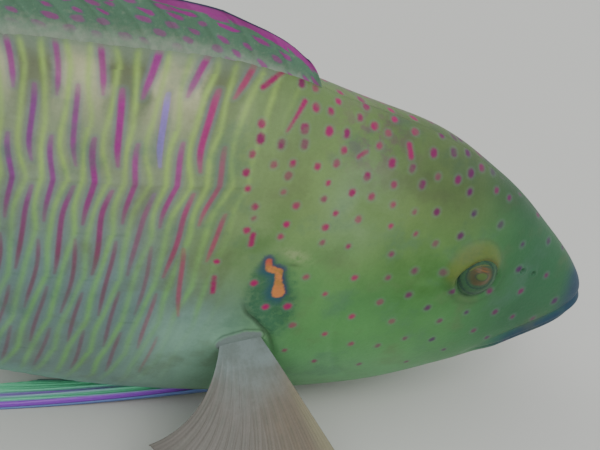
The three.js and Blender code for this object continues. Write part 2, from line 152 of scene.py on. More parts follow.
# The fish's own sizes, the same as those of its solids. Levels are shares of the length above the snout's
# tip, and the trunk's profiles are (station, share of the length).
LENGTH = 345.0
HEAD_DOWN = math.radians(10)
BREAST = 0.325  # station over the model's origin
BREAST_SINK = 0.9  # how far the breast is flattened by the floor
TAIL_SWING = 8.0
SWING_FROM = 0.5
BACK = (
    (0, 0), (0.02, 0.036), (0.06, 0.072), (0.12, 0.117), (0.2, 0.157), (0.28, 0.176), (0.38, 0.196),
    (0.5, 0.195), (0.62, 0.183), (0.74, 0.152), (0.86, 0.112), (0.94, 0.095), (1, 0.093),
)
BELLY = (
    (0, 0), (0.02, -0.031), (0.06, -0.056), (0.12, -0.091), (0.2, -0.126), (0.28, -0.15),
    (0.38, -0.167), (0.5, -0.17), (0.62, -0.16), (0.74, -0.13), (0.86, -0.097), (0.94, -0.087),
    (1, -0.088),
)
HALF_WIDTH = (
    (0, 0), (0.02, 0.023), (0.06, 0.041), (0.12, 0.062), (0.2, 0.078), (0.28, 0.085), (0.38, 0.086),
    (0.5, 0.082), (0.62, 0.069), (0.74, 0.051), (0.86, 0.034), (0.94, 0.022), (1, 0.011),
)
WIDEST_LEVEL = ((0, 0), (0.12, -0.005), (0.28, -0.01), (0.5, 0), (1, 0))
EYE_STATION, EYE_LEVEL, EYE_RADIUS, EYE_SINK = 0.136, 0.053, 9.0, 5.8
EYE_OPENING = math.sqrt(EYE_RADIUS**2 - EYE_SINK**2)
NOSTRILS = ((0.088, 0.052, 1.1), (0.074, 0.047, 0.8))  # station, level, radius
MOUTH_FRONT_LEVEL, MOUTH_CORNER, MOUTH_CORNER_LEVEL = -2.6, 0.096, -15.5
GILL_COVER = (
    (0.232, 0.082), (0.27, 0.09), (0.305, 0.084), (0.335, 0.065), (0.35, 0.036), (0.342, 0.006),
    (0.326, -0.008), (0.311, -0.021), (0.292, -0.055), (0.268, -0.096), (0.238, -0.118), (0.222, -0.09),
    (0.218, -0.02), (0.222, 0.04),
)
SINK = 5.0  # how far the feet of the midline fins go into the trunk
FIN_LIFT = 0.5  # from the floor to the mid plane of a paired fin
FLOOR_SOFTNESS = 0.8

# Fins: lengths are (ray, share of the length), angles and sweeps are degrees.
DORSAL = {
    "rays": 19, "spines": 9, "from": 0.319, "to": 0.866, "notch": 0.975, "droop": 12,
    "length": ((0, 0.038), (1, 0.056), (3, 0.076), (8, 0.09), (12, 0.12), (15, 0.172), (16.4, 0.2),
               (18, 0.105)),
    "angle": ((0, 68), (4, 56), (9, 48), (14, 34), (18, 20)),
}
ANAL = {
    "rays": 11, "spines": 3, "from": 0.6, "to": 0.862, "notch": 0.975, "droop": 10,
    "length": ((0, 0.045), (2, 0.082), (5, 0.118), (7.4, 0.168), (8.6, 0.185), (10, 0.1)),
    "angle": ((0, 40), (4, 34), (10, 20)),
}
CAUDAL = {
    "rays": 26, "spread": 17, "foot": 0.975, "length": 0.235, "corner_extra": 0.018, "fringe": 0.052,
    "web": 0.012,
}
PECTORAL = {
    "rays": 12, "front": (0.322, -0.022), "rear": (0.35, -0.042),
    "length": ((0, 0.178), (2, 0.194), (5, 0.182), (9, 0.142), (11, 0.115)),
    "foot_sweep": (70, 0), "sweep": (64, -40), "bend": 1.4, "dip": (44, 46), "sink": 3, "notch": 0.97,
    "curl": 0.12,
}
PELVIC = {
    "rays": 6, "station": (0.333, 0.37), "start": (14.6, 7),
    "length": ((0, 0.19), (1, 0.225), (2.5, 0.2), (5, 0.1)),
    "sweep": (2.8, -3), "sink": 4, "arch": 4.5, "notch": 0.95,
}

# The lattice of the scales, which also places the strokes, as distances over the skin in millimetres.
SCALE_PITCH = 11.08
ROW_PITCH = 16.8
ROW_AT = 53.3
COLUMN_AT = 144.9
ROW_SLOPE = 0.14
ROW_LEVEL_AT = 172.0
SCALE_BULGE = 1.4
LATERAL_LINE = 37.0

# The columns of the lattice fan out from one station, lean over the nape, and bend at the lateral line.
FAN_STATION, FAN_START, FAN_LEVEL, FAN_RATE = 150.0, 6.0, 16.0, 0.0034
NAPE_LEVEL, NAPE_END, NAPE_LEAN = 66.0, 166.0, 0.2
KINK_SLOPE, KINK_DEPTH, KINK_SPREAD = 0.2, 0.7, 170.0

# Places on the skin as (s, t): s is millimetres behind the snout, and t is millimetres of skin up from
# the level of the snout's tip. Rods have ends with a radius.
MARK = ((116.4, 19.8, 1.0), (115.6, 17.3, 1.1), (112.2, 16.6, 1.2), (111.5, 13.4, 1.1), (110.2, 9.2, 2.1))
PATCH = (111.5, 6.5, 7.6, 15.5, 0.34)  # place, half width, half height and tilt
MARK_SPOTS = (
    (118.5, 11.5, 1.2), (112.3, 3.3, 1.15), (105.6, 4.3, 1.3), (101.6, -2.9, 1.2), (103.4, 15.7, 1.1),
    (131.7, 17.2, 1.0),
)
SHORT_STROKES = (
    ((116.5, 70.0, 0.9), (121.4, 60.6, 0.45)), ((123.6, 78.4, 0.9), (130.2, 72.2, 0.9)),
    ((123.7, 28.0, 0.95), (123.4, 24.6, 0.95)), ((130.9, 11.6, 0.85), (129.6, 6.0, 0.85)),
    ((80.9, 60.4, 0.95), (80.0, 56.6, 0.95)), ((97.4, 55.4, 0.7), (95.2, 57.0, 0.8)),
)
EYE_PLACE = (47.0, 19.6)
EYE_CLEARING = 10.5  # no spot comes nearer to the eye
MARK_CLEARING = (111, 6, 9, 15)  # no random spot falls in this oval
SPOT_TRIES = 2600
LID_DROP = 2.3
BROW_PLACE = (50.0, 21.6)
FIN_FOOT_PLACE, FIN_FOOT_ALONG = (116.0, -12.0), (0.81, -0.58)

# The stage, in metres except for the sensor.
FLOOR_REACH = 6.0
LAMPS = (("key", 1.1, (0.5, -0.9, 1.5)), ("fill", 1.4, (-0.9, 0.9, 1.1)))  # name, size and place
SKY_COLOUR = (0.93, 0.97, 1.0, 1)
SENSOR = 36
CLIP = (0.01, 50)

# The fineness of the meshes.
SKIN_RINGS = 540
SKIN_SIDES = 400
TAIL_RINGS = 10
FIN_ROWS = 90


def through(points):
    """A smooth curve through (x, y) points, as a function of an array."""
    xs, ys = np.array(points, float).T
    step = np.diff(xs)
    slope = np.diff(ys) / step
    tangent = np.empty(len(xs))
    tangent[0], tangent[-1] = slope[0], slope[-1]
    tangent[1:-1] = (slope[:-1] * step[1:] + slope[1:] * step[:-1]) / (step[:-1] + step[1:])

    def curve(at):
        x = np.clip(at, xs[0], xs[-1])
        i = np.clip(np.searchsorted(xs, x, side="right") - 1, 0, len(step) - 1)
        t = (x - xs[i]) / step[i]
        rise = t * t * (3 - 2 * t)
        hump = step[i] * t * (1 - t) * ((1 - t) * tangent[i] - t * tangent[i + 1])
        return ys[i] * (1 - rise) + ys[i + 1] * rise + hump

    return curve


def profile(points):
    """A profile of the trunk, read by the square root of its station, which rounds the snout."""
    curve = through([(math.sqrt(station), share) for station, share in points])
    return lambda station: LENGTH * curve(np.sqrt(station))


back = profile(BACK)
belly = profile(BELLY)
half_width = profile(HALF_WIDTH)
widest_level = profile(WIDEST_LEVEL)


def smooth(low, high, x):
    """A soft step from 0 at low to 1 at high, where high may be the smaller."""
    t = np.clip((x - low) / (high - low), 0, 1)
    return t * t * (3 - 2 * t)


def bell(x, width):
    """1 at 0, falling off to both sides over a width."""
    return np.exp(-((x / width) ** 2))


def unit(vectors):
    """The same directions at length 1."""
    return vectors / np.maximum(np.linalg.norm(vectors, axis=-1, keepdims=True), 1e-9)


def mix(pair, share):
    """A number between the two of a pair."""
    return pair[0] + (pair[1] - pair[0]) * share


def soft_over(x, softness):
    """x where it is over 0 and else 0, with a soft corner. It works on arrays and on shader values."""
    return (x + (x * x + softness) ** 0.5) / 2


def between_rays(ray):
    """0 on a fin ray and 1 midway between two."""
    off = ray - np.floor(ray)
    return 4 * off * (1 - off)


def trunk_at(station, angle):
    """Points of the bare trunk. Angle 0 is the fish's left side and a quarter turn is its back."""
    station, angle = np.broadcast_arrays(station, angle)
    side, rise = np.cos(angle), np.sin(angle)
    middle = widest_level(station)
    reach = np.where(rise > 0, back(station) - middle, middle - belly(station))
    across = half_width(station) * np.sign(side) * np.abs(side) ** 0.95
    return np.stack([-station * LENGTH, across, middle + reach * rise], -1)


def flank_at(station, level, side):
    """A point of one flank, with its level as a share of the length."""
    middle = widest_level(station)
    z = level * LENGTH
    reach = back(station) - middle if z > middle else middle - belly(station)
    point = trunk_at(station, math.asin(np.clip((z - middle) / reach, -1, 1)))
    return point * (1, side, 1)


def flank_normal(station, level, side):
    """The way that a flank faces at a place."""
    step = 0.012
    along = flank_at(station + step, level, side) - flank_at(station - step, level, side)
    up = flank_at(station, level + step, side) - flank_at(station, level - step, side)
    return unit(np.cross(along, up)) * side


def flank_on(side, station, level):
    """A flank's place for many vertices, each on its own side."""
    return np.where((side < 0)[..., None], flank_at(station, level, -1), flank_at(station, level, 1))


COS, SIN = math.cos(HEAD_DOWN), math.sin(HEAD_DOWN)
FLOOR = min(
    float(belly(s) * COS + s * LENGTH * SIN) for s in (0.1 + 0.6 * i / 199 for i in range(200))
) + BREAST_SINK
ORIGIN_X = float(-BREAST * LENGTH * COS + belly(BREAST) * SIN)


def floor_at(x):
    """Height of the floor in the fish's own frame."""
    return (FLOOR + x * SIN) / COS


def pose(points):
    """Fish's frame in millimetres to the model's frame in metres."""
    x, y, z = np.moveaxis(np.asarray(points, float), -1, 0)
    past = np.maximum(0, -x / LENGTH - SWING_FROM) / (1 - SWING_FROM)
    ahead, up = x * COS + z * SIN - ORIGIN_X, z * COS - x * SIN - FLOOR
    return np.stack([ahead, y + TAIL_SWING * past**2, up], -1) * MM


def grid_normals(points, wrap=False):
    """Normals of a grid of points, whose second axis may close on itself."""
    along = np.gradient(points, axis=0)
    if wrap:
        across = np.roll(points, -1, axis=1) - np.roll(points, 1, axis=1)
    else:
        across = np.gradient(points, axis=1)
    return unit(np.cross(along, across))


def tube_faces(rings, sides):
    """Faces of a closed tube, whose rings of vertices lie between a first vertex and a last one."""
    index = 1 + np.arange(rings)[:, None] * sides + np.arange(sides)
    beside = np.roll(index, -1, axis=1)
    quads = np.stack([index[:-1], index[1:], beside[1:], beside[:-1]], -1).reshape(-1, 4).tolist()
    first = [(0, index[0, j], beside[0, j]) for j in range(sides)]
    last = [(rings * sides + 1, beside[-1, j], index[-1, j]) for j in range(sides)]
    return quads + first + last


def settle(points):
    """The fish's frame to the model's, with nothing left under the floor."""
    placed = pose(points)
    placed[:, 2] = np.maximum(placed[:, 2], 0)
    return placed


def build_mesh(name, verts, faces, uvs=None, values=None):
    """A smooth-shaded object, with UVs per corner, and by name values of three numbers per vertex."""
    mesh = bpy.data.meshes.new(name)
    mesh.from_pydata(np.asarray(verts).tolist(), [], [list(face) for face in faces])
    if uvs is not None:
        layer = mesh.uv_layers.new(name="OFBake")
        layer.data.foreach_set("uv", np.asarray(uvs, np.float32).ravel())
    for key, value in (values or {}).items():
        kept = mesh.attributes.new(key, "FLOAT_VECTOR", "POINT")
        kept.data.foreach_set("vector", np.asarray(value, np.float32).ravel())
    mesh.polygons.foreach_set("use_smooth", np.ones(len(mesh.polygons), bool))
    mesh.validate()
    mesh.update()
    made = bpy.data.objects.new(name, mesh)
    bpy.context.scene.collection.objects.link(made)
    return made


def dress(piece, material, slot, *nodes):
    """Gives a piece its material and says which solids it stands for."""
    piece.data.materials.append(material)
    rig.ride(piece, BODY)
    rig.slot(piece, slot)
    if nodes:
        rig.replaces(piece, *nodes)


def linear(red, green, blue):
    """A colour for a property, from the usual 0 to 255 values."""
    def channel(value):
        share = value / 255
        return share / 12.92 if share <= 0.04045 else ((share + 0.055) / 1.055) ** 2.4
    return (channel(red), channel(green), channel(blue), 1.0)


def colour(label, about, *rgb):
    """A colour property, whose default is given in 0 to 255 values."""
    return FloatVectorProperty(
        name=label, description=about, subtype="COLOR", size=4, min=0, max=1, default=linear(*rgb)
    )


def distance(label, about, default):
    """A property in millimetres."""
    return FloatProperty(name=label, description=about + ", in millimetres", default=default, min=0)


class WrasseForm(bpy.types.PropertyGroup):
    """Shapes of the fish"""
    scale_rise: distance("Scale rise", "How far a scale's free edge stands up", 0.3)
    lip_rise: distance("Lip rise", "How far the lips stand out", 0.9)
    mouth_depth: distance("Mouth depth", "Depth of the line between the lips", 1.2)
    cover_rise: distance("Gill cover rise", "Thickness of the gill cover's free edge", 0.9)
    orbit_rise: distance("Orbit rise", "Height of the ring round an eye", 0.12)
    brow_rise: distance("Brow rise", "Height of the brow over an eye", 1.7)
    sheath_rise: distance("Sheath rise", "Height of the scaly ridge at a fin's foot", 1.3)
    ray_rise: distance("Ray rise", "How far a fin ray stands out of its membrane", 0.42)
    membrane: distance("Membrane", "Half the thickness of a fin between its rays", 0.28)
    spot_radius: distance("Spot radius", "Radius of a spot of the head", 1.2)
    stroke_width: distance("Stroke width", "Half the width of a stroke on the flank", 0.84)
    seed: IntProperty(name="Seed", description="Where the spots and the fringe fall", default=7)


class WrasseSkinColours(bpy.types.PropertyGroup):
    """Colours of the skin"""
    nape: colour("Nape", "Skin over the head", 112, 140, 78)
    cheek: colour("Cheek", "Skin of the cheek", 84, 140, 78)
    snout: colour("Snout", "Skin ahead of the eye", 42, 94, 62)
    lip: colour("Lip", "Both lips", 26, 62, 84)
    throat: colour("Throat", "Under the head", 106, 160, 112)
    olive: colour("Olive", "Deeper skin of the upper cheek", 42, 92, 20)
    haze: colour("Haze", "Paler skin of the nape's side", 138, 162, 136)
    brow: colour("Brow", "Skin over and behind the eye", 116, 112, 40)
    lid: colour("Lid", "Edge of the brow next to the eye", 92, 76, 40)
    # The rim's darker green also stands in for painted shade where the lid meets the eyeball.
    orbit: colour("Orbit", "Rim of the eye's opening", 52, 84, 58)
    smear: colour("Smear", "Clouds among the spots of the nape", 122, 74, 104)
    ridge: colour("Ridge", "Skin beside the dorsal fin", 122, 138, 116)
    flank_high: colour("Upper flank", "Between the strokes under the back", 130, 142, 110)
    flank_low: colour("Lower flank", "Between the strokes lower down", 104, 130, 124)
    cream: colour("Cream", "Pale blotches under the dorsal fin", 180, 180, 138)
    blotch: colour("Blotch", "Dark blotches under the dorsal fin", 94, 100, 70)
    halo: colour("Halo", "Skin beside a stroke", 112, 116, 132)
    cool: colour("Cool clouds", "Dark green clouds over the skin", 74, 108, 92)
    breast: colour("Breast", "Plain skin round the pectoral fin", 130, 168, 148)
    rear: colour("Rear", "Body ahead of the tail fin", 50, 54, 86)
    line_high: colour("Upper line", "Scale edges under the back", 156, 192, 90)
    line_low: colour("Lower line", "Scale edges lower down", 116, 174, 94)
    stroke_high: colour("Upper stroke", "Strokes under the back", 154, 22, 122)
    stroke_low: colour("Lower stroke", "Strokes lower down", 116, 16, 66)
    stroke_rear: colour("Rear stroke", "Strokes further back", 116, 14, 130)
    stroke_head: colour("Front stroke", "Strokes nearest the head", 170, 36, 90)
    lilac: colour("Lilac", "The palest strokes", 138, 94, 214)
    spot_warm: colour("Warm spot", "Spots of the nape and cheek", 156, 8, 88)
    spot_cold: colour("Cold spot", "Spots of the snout", 74, 20, 78)
    spot_ring: colour("Spot ring", "Thin ring round a spot", 118, 124, 132)
    pad: colour("Fin pad", "Skin round the foot of a pectoral fin", 112, 118, 120)
    patch: colour("Flap patch", "Dark skin round the orange mark", 34, 88, 62)
    rim: colour("Mark rim", "Front edge of the orange mark", 48, 34, 96)
    rim_rear: colour("Rear mark rim", "Rear edge of the orange mark", 28, 70, 96)
    mark: colour("Mark", "Orange mark of the gill flap", 202, 124, 66)
    mark_top: colour("Mark top", "Redder end of the orange mark", 168, 62, 62)


class WrasseEyeColours(bpy.types.PropertyGroup):
    """Colours of the eyes"""
    white: colour("Outer ring", "Eyeball round the iris", 52, 90, 58)
    ring: colour("Dark rings", "Dark lines of the outer ring", 28, 56, 50)
    iris: colour("Iris", "Orange lines of the iris", 130, 80, 42)
    iris_dark: colour("Dark iris", "Iris between its lines", 76, 72, 44)
    # The pupil's green is a painted reflection.
    pupil: colour("Pupil", "Pupil", 74, 100, 48)


class WrasseFinColours(bpy.types.PropertyGroup):
    """Colours of the fins"""
    dorsal: colour("Dorsal", "Membrane of the dorsal fin", 78, 118, 92)
    dorsal_foot: colour("Dorsal foot", "Foot of the dorsal fin", 138, 150, 130)
    dorsal_rear: colour("Rear fins", "Membrane of the rear dorsal and anal fins", 36, 70, 98)
    mark: colour("Fin marks", "Dashes and bands of the fins", 150, 20, 128)
    edge: colour("Fin edge", "Outer edge of the fins", 32, 26, 66)
    tail: colour("Tail", "Web of the tail fin", 30, 38, 72)
    fringe: colour("Fringe", "Filaments of the tail fin", 70, 128, 140)
    pectoral_foot: colour("Pectoral foot", "Foot of a pectoral fin", 112, 126, 122)
    pectoral: colour("Pectoral", "Membrane of a pectoral fin", 104, 98, 90)
    pectoral_front: colour("Pectoral front", "Browner front half of a pectoral fin", 124, 104, 78)
    pectoral_ray: colour("Pectoral rays", "Rays of a pectoral fin", 96, 96, 84)
    pectoral_web: colour("Pectoral web", "Dim membrane near the foot of a pectoral fin", 78, 88, 72)
    pectoral_lead: colour("Leading rays", "Front rays of a pectoral fin", 146, 142, 108)
    pelvic: colour("Pelvic", "Membrane of a pelvic fin", 124, 226, 176)
    pelvic_mark: colour("Pelvic band", "Bands of a pelvic fin", 156, 78, 206)
    pelvic_edge: colour("Pelvic edge", "Outer edge of a pelvic fin", 104, 128, 186)


class WrasseStage(bpy.types.PropertyGroup):
    """The floor, the lights and the camera"""
    floor: colour("Floor", "The floor", 206, 204, 198)
    key: FloatProperty(name="Key light", description="Main light", default=9.0, unit="POWER")
    fill: FloatProperty(
        name="Fill light", description="Light from the far side", default=5.0, unit="POWER"
    )
    sky: FloatProperty(name="Sky", description="Light from all round", default=0.95)
    azimuth: FloatProperty(name="Azimuth", description="View, in degrees", default=-16.9)
    elevation: FloatProperty(name="Elevation", description="View, in degrees", default=41.16)
    roll: FloatProperty(name="Roll", description="View, in degrees", default=11.6)
    away: distance("Distance", "From the camera to what it looks at", 710.0)
    ahead: distance("Aim ahead", "What the camera looks at, ahead of the breast", 24.4)
    above: distance("Aim above", "What the camera looks at, above the floor", 62.0)
    lens: distance("Lens", "Focal length", 139.56)


class Value:
    """A number on its way through a material, used in plain expressions."""

    def __init__(self, shader, socket):
        self.shader = shader
        self.socket = socket

    def _math(self, operation, *values):
        node = self.shader.add("Math", {"operation": operation}, dict(enumerate(values)))
        return Value(self.shader, node.outputs[0])

    def __add__(self, other): return self._math("ADD", self, other)
    def __radd__(self, other): return self._math("ADD", other, self)
    def __sub__(self, other): return self._math("SUBTRACT", self, other)
    def __rsub__(self, other): return self._math("SUBTRACT", other, self)
    def __mul__(self, other): return self._math("MULTIPLY", self, other)
    def __rmul__(self, other): return self._math("MULTIPLY", other, self)
    def __truediv__(self, other): return self._math("DIVIDE", self, other)
    def __rtruediv__(self, other): return self._math("DIVIDE", other, self)
    def __pow__(self, other): return self._math("POWER", self, other)
    def __abs__(self): return self._math("ABSOLUTE", self)
    def __round__(self): return self._math("ROUND", self)
    def above(self, other): return self._math("GREATER_THAN", self, other)
    def least(self, other): return self._math("MINIMUM", self, other)
    def most(self, other): return self._math("MAXIMUM", self, other)
    def wave(self): return self._math("SINE", self)

    def step(self, low, high):
        """A soft step from 0 at low to 1 at high, where high may be the smaller."""
        sockets = {"Value": self, "From Min": low, "From Max": high}
        node = self.shader.add("MapRange", {"interpolation_type": "SMOOTHSTEP"}, sockets)
        return Value(self.shader, node.outputs[0])

    def bell(self, width):
        """1 at 0, falling off to both sides over a width."""
        return self._math("EXPONENT", self * self * (-1 / width**2))

    def stir(self, noise, amount):
        """The number made uneven by a noise that lies round 0.5."""
        return self + (noise - 0.5) * amount


class Shader:
    """One material. Every node comes from its add method."""

    def __init__(self, name):
        self.material = bpy.data.materials.new(name)
        self.material.use_nodes = True
        self.tree = self.material.node_tree
        self.tree.nodes.clear()

    def add(self, kind, settings=None, sockets=None):
        """A node with its settings, and what goes into its sockets."""
        node = self.tree.nodes.new("ShaderNode" + kind)
        for key, value in (settings or {}).items():
            setattr(node, key, value)
        for key, value in (sockets or {}).items():
            if isinstance(value, Value):
                value = value.socket
            if isinstance(value, bpy.types.NodeSocket):
                self.tree.links.new(value, node.inputs[key])
            else:
                node.inputs[key].default_value = value
        return node

    def vertex(self, name):
        """The three numbers that a mesh keeps at its vertices under a name."""
        node = self.add("Attribute", {"attribute_name": name})
        return self.split(node.outputs["Vector"])

    def split(self, socket):
        """The three numbers of a place or colour."""
        node = self.add("SeparateXYZ", sockets={0: socket})
        return [Value(self, output) for output in node.outputs]

    def join(self, x, y, z):
        """A place from three numbers."""
        return self.add("CombineXYZ", sockets={0: x, 1: y, 2: z}).outputs[0]

    def noise(self, place, scale, detail=3.0, roughness=0.5):
        """Soft clouds that lie round 0.5."""
        sockets = {"Vector": place, "Scale": scale, "Detail": detail, "Roughness": roughness}
        return Value(self, self.add("TexNoise", {"noise_dimensions": "3D"}, sockets).outputs[0])

    def chance(self, place):
        """Three random numbers for a cell."""
        node = self.add("TexWhiteNoise", {"noise_dimensions": "3D"}, {"Vector": place})
        return self.split(node.outputs["Color"])

    def blend(self, share, under, over):
        """A colour between two others."""
        settings = {"data_type": "RGBA", "blend_type": "MIX", "clamp_factor": True}
        return self.add("Mix", settings, {0: share, 6: tuple_of(under), 7: tuple_of(over)}).outputs[2]

    def layers(self, under, *layers):
        """A colour with others laid over it in turn, each as (share, colour)."""
        for share, over in layers:
            under = self.blend(share, under, over)
        return under

    def shade(self, under, *amounts):
        """A colour darkened or lightened in turn by numbers near 1."""
        for amount in amounts:
            settings = {"data_type": "RGBA", "blend_type": "MULTIPLY"}
            grey = self.join(amount, amount, amount)
            under = self.add("Mix", settings, {0: 1.0, 6: tuple_of(under), 7: grey}).outputs[2]
        return under

    def finish(self, base, roughness, height=None, **constants):
        """The surface itself, with a height in millimetres for its grain."""
        sockets = {"Base Color": base, "Roughness": roughness}
        if height is not None:
            relief = self.add("Bump", sockets={"Height": height, "Distance": MM, "Strength": 1.0})
            sockets["Normal"] = relief.outputs[0]
        for key, value in constants.items():
            sockets[key.replace("_", " ").title().replace("Ior", "IOR")] = value
        surface = self.add("BsdfPrincipled", sockets=sockets)
        self.add("OutputMaterial", sockets={"Surface": surface.outputs[0]})
        return self.material


def tuple_of(value):
    """A colour as a socket takes it."""
    return value if isinstance(value, bpy.types.NodeSocket) else tuple(value)


def row_level(s, t):
    """Level of a place counted along the rows of scales, which sink towards the tail."""
    return t + (s - ROW_LEVEL_AT) * ROW_SLOPE


def column_lean(s, t):
    """How far the columns of scales lean at a place, from arrays or from shader values."""
    fan = (s - FAN_STATION) * (soft_over(t - FAN_START, 64) - FAN_LEVEL) * FAN_RATE
    nape = soft_over(t - NAPE_LEVEL, 4) * (NAPE_LEAN / (1 + (s / NAPE_END) ** 24))
    off_line = row_level(s, t) - LATERAL_LINE
    far = off_line * off_line / KINK_SPREAD
    kink = ((off_line * off_line + 0.6) ** 0.5 * KINK_SLOPE - KINK_DEPTH) / (1 + far * far)
    return fan - nape + kink


def skin_grid():
    """Rings of points evenly spaced round the trunk from the back, with s, t and the side."""
    crowding, fineness = 1.4, 1440
    stations = ((np.arange(SKIN_RINGS) + 0.5) / SKIN_RINGS) ** crowding
    stations = stations / stations[-1]
    turns = np.linspace(0, 2 * np.pi, fineness + 1)
    dense = trunk_at(stations[:, None], np.pi / 2 + turns[None, :])
    run = np.cumsum(np.linalg.norm(np.diff(dense, axis=1), axis=2), axis=1)
    run = np.concatenate([np.zeros((SKIN_RINGS, 1)), run], axis=1)
    shares = np.arange(SKIN_SIDES) / SKIN_SIDES
    angles = np.array([np.interp(shares * line[-1], line, turns) for line in run])
    points = trunk_at(stations[:, None], np.pi / 2 + angles)
    whole = run[:, -1:]
    from_back = np.minimum(shares * whole, (1 - shares) * whole)
    half = fineness // 2
    level = [np.interp(0, -line[:half, 2], arc[:half]) for line, arc in zip(dense, run)]
    t = np.array(level)[:, None] - from_back
    side = np.where(shares < 0.5, -1.0, 1.0)[None, :] * np.ones((SKIN_RINGS, 1))
    return stations, points, -points[..., 0], t, side


def lattice(s, t):
    """Distance behind the nearest scale edge ahead, for each place on the flank."""
    u = s - column_lean(s, t)
    behind = np.full(s.shape, SCALE_PITCH)
    for parity in (0.0, 0.5):
        row = (row_level(s, t) - ROW_AT) / (2 * ROW_PITCH) + parity
        v = (row - np.round(row)) * 2
        edge = SCALE_PITCH / 4 + SCALE_BULGE / 2 * np.cos(np.pi * v)
        behind = np.minimum(behind, (u - COLUMN_AT + parity * SCALE_PITCH - edge) % SCALE_PITCH)
    return behind


def outline_distance(outline, x, z):
    """Signed distance in millimetres to a closed smooth outline of (station, level), negative inside."""
    corners = np.array([(-a * LENGTH, b * LENGTH) for a, b in outline])
    count = len(corners)
    at = np.arange(0, count, 0.125)
    i = at.astype(int)
    t = (at - i)[:, None]
    p = [corners[(i + k) % count] for k in (-1, 0, 1, 2)]
    rim = 0.5 * (2 * p[1] + (p[2] - p[0]) * t + (2 * p[0] - 5 * p[1] + 4 * p[2] - p[3]) * t**2
                 + (3 * p[1] - p[0] - 3 * p[2] + p[3]) * t**3)
    best = np.full(x.shape, 1e9)
    inside = np.zeros(x.shape, bool)
    for (ax, az), (bx, bz) in zip(rim, np.roll(rim, -1, axis=0)):
        ex, ez = bx - ax, bz - az
        share = np.clip(((x - ax) * ex + (z - az) * ez) / (ex * ex + ez * ez), 0, 1)
        best = np.minimum(best, np.hypot(x - ax - share * ex, z - az - share * ez))
        crosses = (az > z) != (bz > z)
        inside ^= crosses & (x < ex * (z - az) / (ez if ez else 1e-9) + ax)
    return np.where(inside, -best, best)


def capsule(s, t, a, b):
    """Signed distance to a rod between two (s, t, radius) ends."""
    (s0, t0, r0), (s1, t1, r1) = a, b
    ds, dt = s1 - s0, t1 - t0
    share = np.clip(((s - s0) * ds + (t - t0) * dt) / (ds * ds + dt * dt), 0, 1)
    return np.hypot(s - s0 - share * ds, t - t0 - share * dt) - (r0 + share * (r1 - r0))


def head_spots(form):
    """Spots of the head as rods with a coldness.

    Chains of them go on from the strokes, and the others are scattered ahead of the chains.
    """
    draw = np.random.default_rng(form.seed)
    rods = [((s, t, r), (s + 0.1, t, r), 0.0) for s, t, r in MARK_SPOTS]
    rods += [(first, second, 0.12) for first, second in SHORT_STROKES]
    mark_s, mark_t, mark_wide, mark_high = MARK_CLEARING

    def add(s, t, gap):
        """Adds a spot, unless it would come near another, the eye or the mark."""
        size, tint = draw.random(2)
        clear = math.hypot(s - EYE_PLACE[0], t - EYE_PLACE[1] - 2) > EYE_CLEARING
        clear = clear and math.hypot((s - mark_s) / mark_wide, (t - mark_t) / mark_high) > 1
        middles = [((a[0] + b[0]) / 2, (a[1] + b[1]) / 2) for a, b, _ in rods]
        if clear and all(math.hypot(s - at[0], t - at[1]) > gap for at in middles):
            nape = float(smooth(40, 60, t))
            radius = form.spot_radius * (0.66 + 0.36 * size + 0.16 * nape)
            cold = float(smooth(92, 46, s)) * (0.85 - 0.4 * nape) + 0.2 * nape + 0.6 * (tint - 0.4)
            rods.append(((s, t, radius), (s, t + 0.15 + nape * tint, radius), min(1.0, max(0.0, cold))))

    for chain in (1, 2, 3):
        t = 61.5
        while t > 27:
            column = 1.05 * chain + (0.1 if t > 41.5 else 0.55)
            fan = 1 - FAN_RATE * (t - (FAN_START + FAN_LEVEL))
            s = FAN_STATION - (column * SCALE_PITCH + FAN_STATION - COLUMN_AT) / fan
            add(s + draw.normal(0, 0.8), t + draw.normal(0, 0.5), 3.2)
            t -= 4.2 + draw.random() * 1.0
    for _ in range(SPOT_TRIES):
        s, t = 12 + 112 * draw.random(), -46 + 128 * draw.random()
        chains = s > 97 and 24 < t < 63
        gap = 7.9 + 1.4 * smooth(70, 90, s) * smooth(26, 14, t)
        gap += 7 * smooth(-8, -40, t) - 3.1 * smooth(32, 54, t)
        if s < (119 if t > 66 else 128 if chains else 101):
            add(s, t, float(gap) + (0.6 if chains else 0))
    return rods


def spot_fields(form, s, t, side):
    """Signed distance to the nearest spot, and how cold it is. The left side's are shifted a little."""
    no_spot, last, shift_by = 9.0, 145, 1.6
    best, cold = np.full(s.shape, no_spot), np.zeros(s.shape)
    near = s < last
    there_s, there_t, on_left = s[near], t[near], side[near] > 0
    least, tint = best[near], cold[near]
    for first, second, coldness in head_spots(form):
        shift = np.where(on_left, shift_by * np.sin(first[0] * 1.7 + first[1]), 0)
        apart = capsule(there_s - shift, there_t + shift, first, second)
        tint = np.where(apart < least, coldness, tint)
        least = np.minimum(apart, least)
    best[near], cold[near] = least, tint
    return best, cold


def scale_relief(form, s, t):
    """Rows of scales with raised free edges, and the lateral line's row of short raised tubes."""
    width, drop = SCALE_PITCH / 2, 0.8
    behind = lattice(s, t)
    slope = 0.1 + 0.9 * (behind - drop) / (width - drop)
    ramp = np.where(behind < drop, 1 - 0.9 * smooth(0, drop, behind), slope)
    on_trunk = smooth(112, 140, s + 0.25 * np.minimum(t, 0)) * smooth(-66, -50, t)
    tubes = 0.5 + 0.5 * np.cos((s - column_lean(s, t) - COLUMN_AT) * 4 * np.pi / SCALE_PITCH)
    tubes = tubes * bell(row_level(s, t) - LATERAL_LINE, 0.8) * smooth(120, 132, s) * smooth(262, 252, s)
    return form.scale_rise * (np.minimum(ramp, 1.0) - 0.5) * on_trunk + 0.3 * tubes


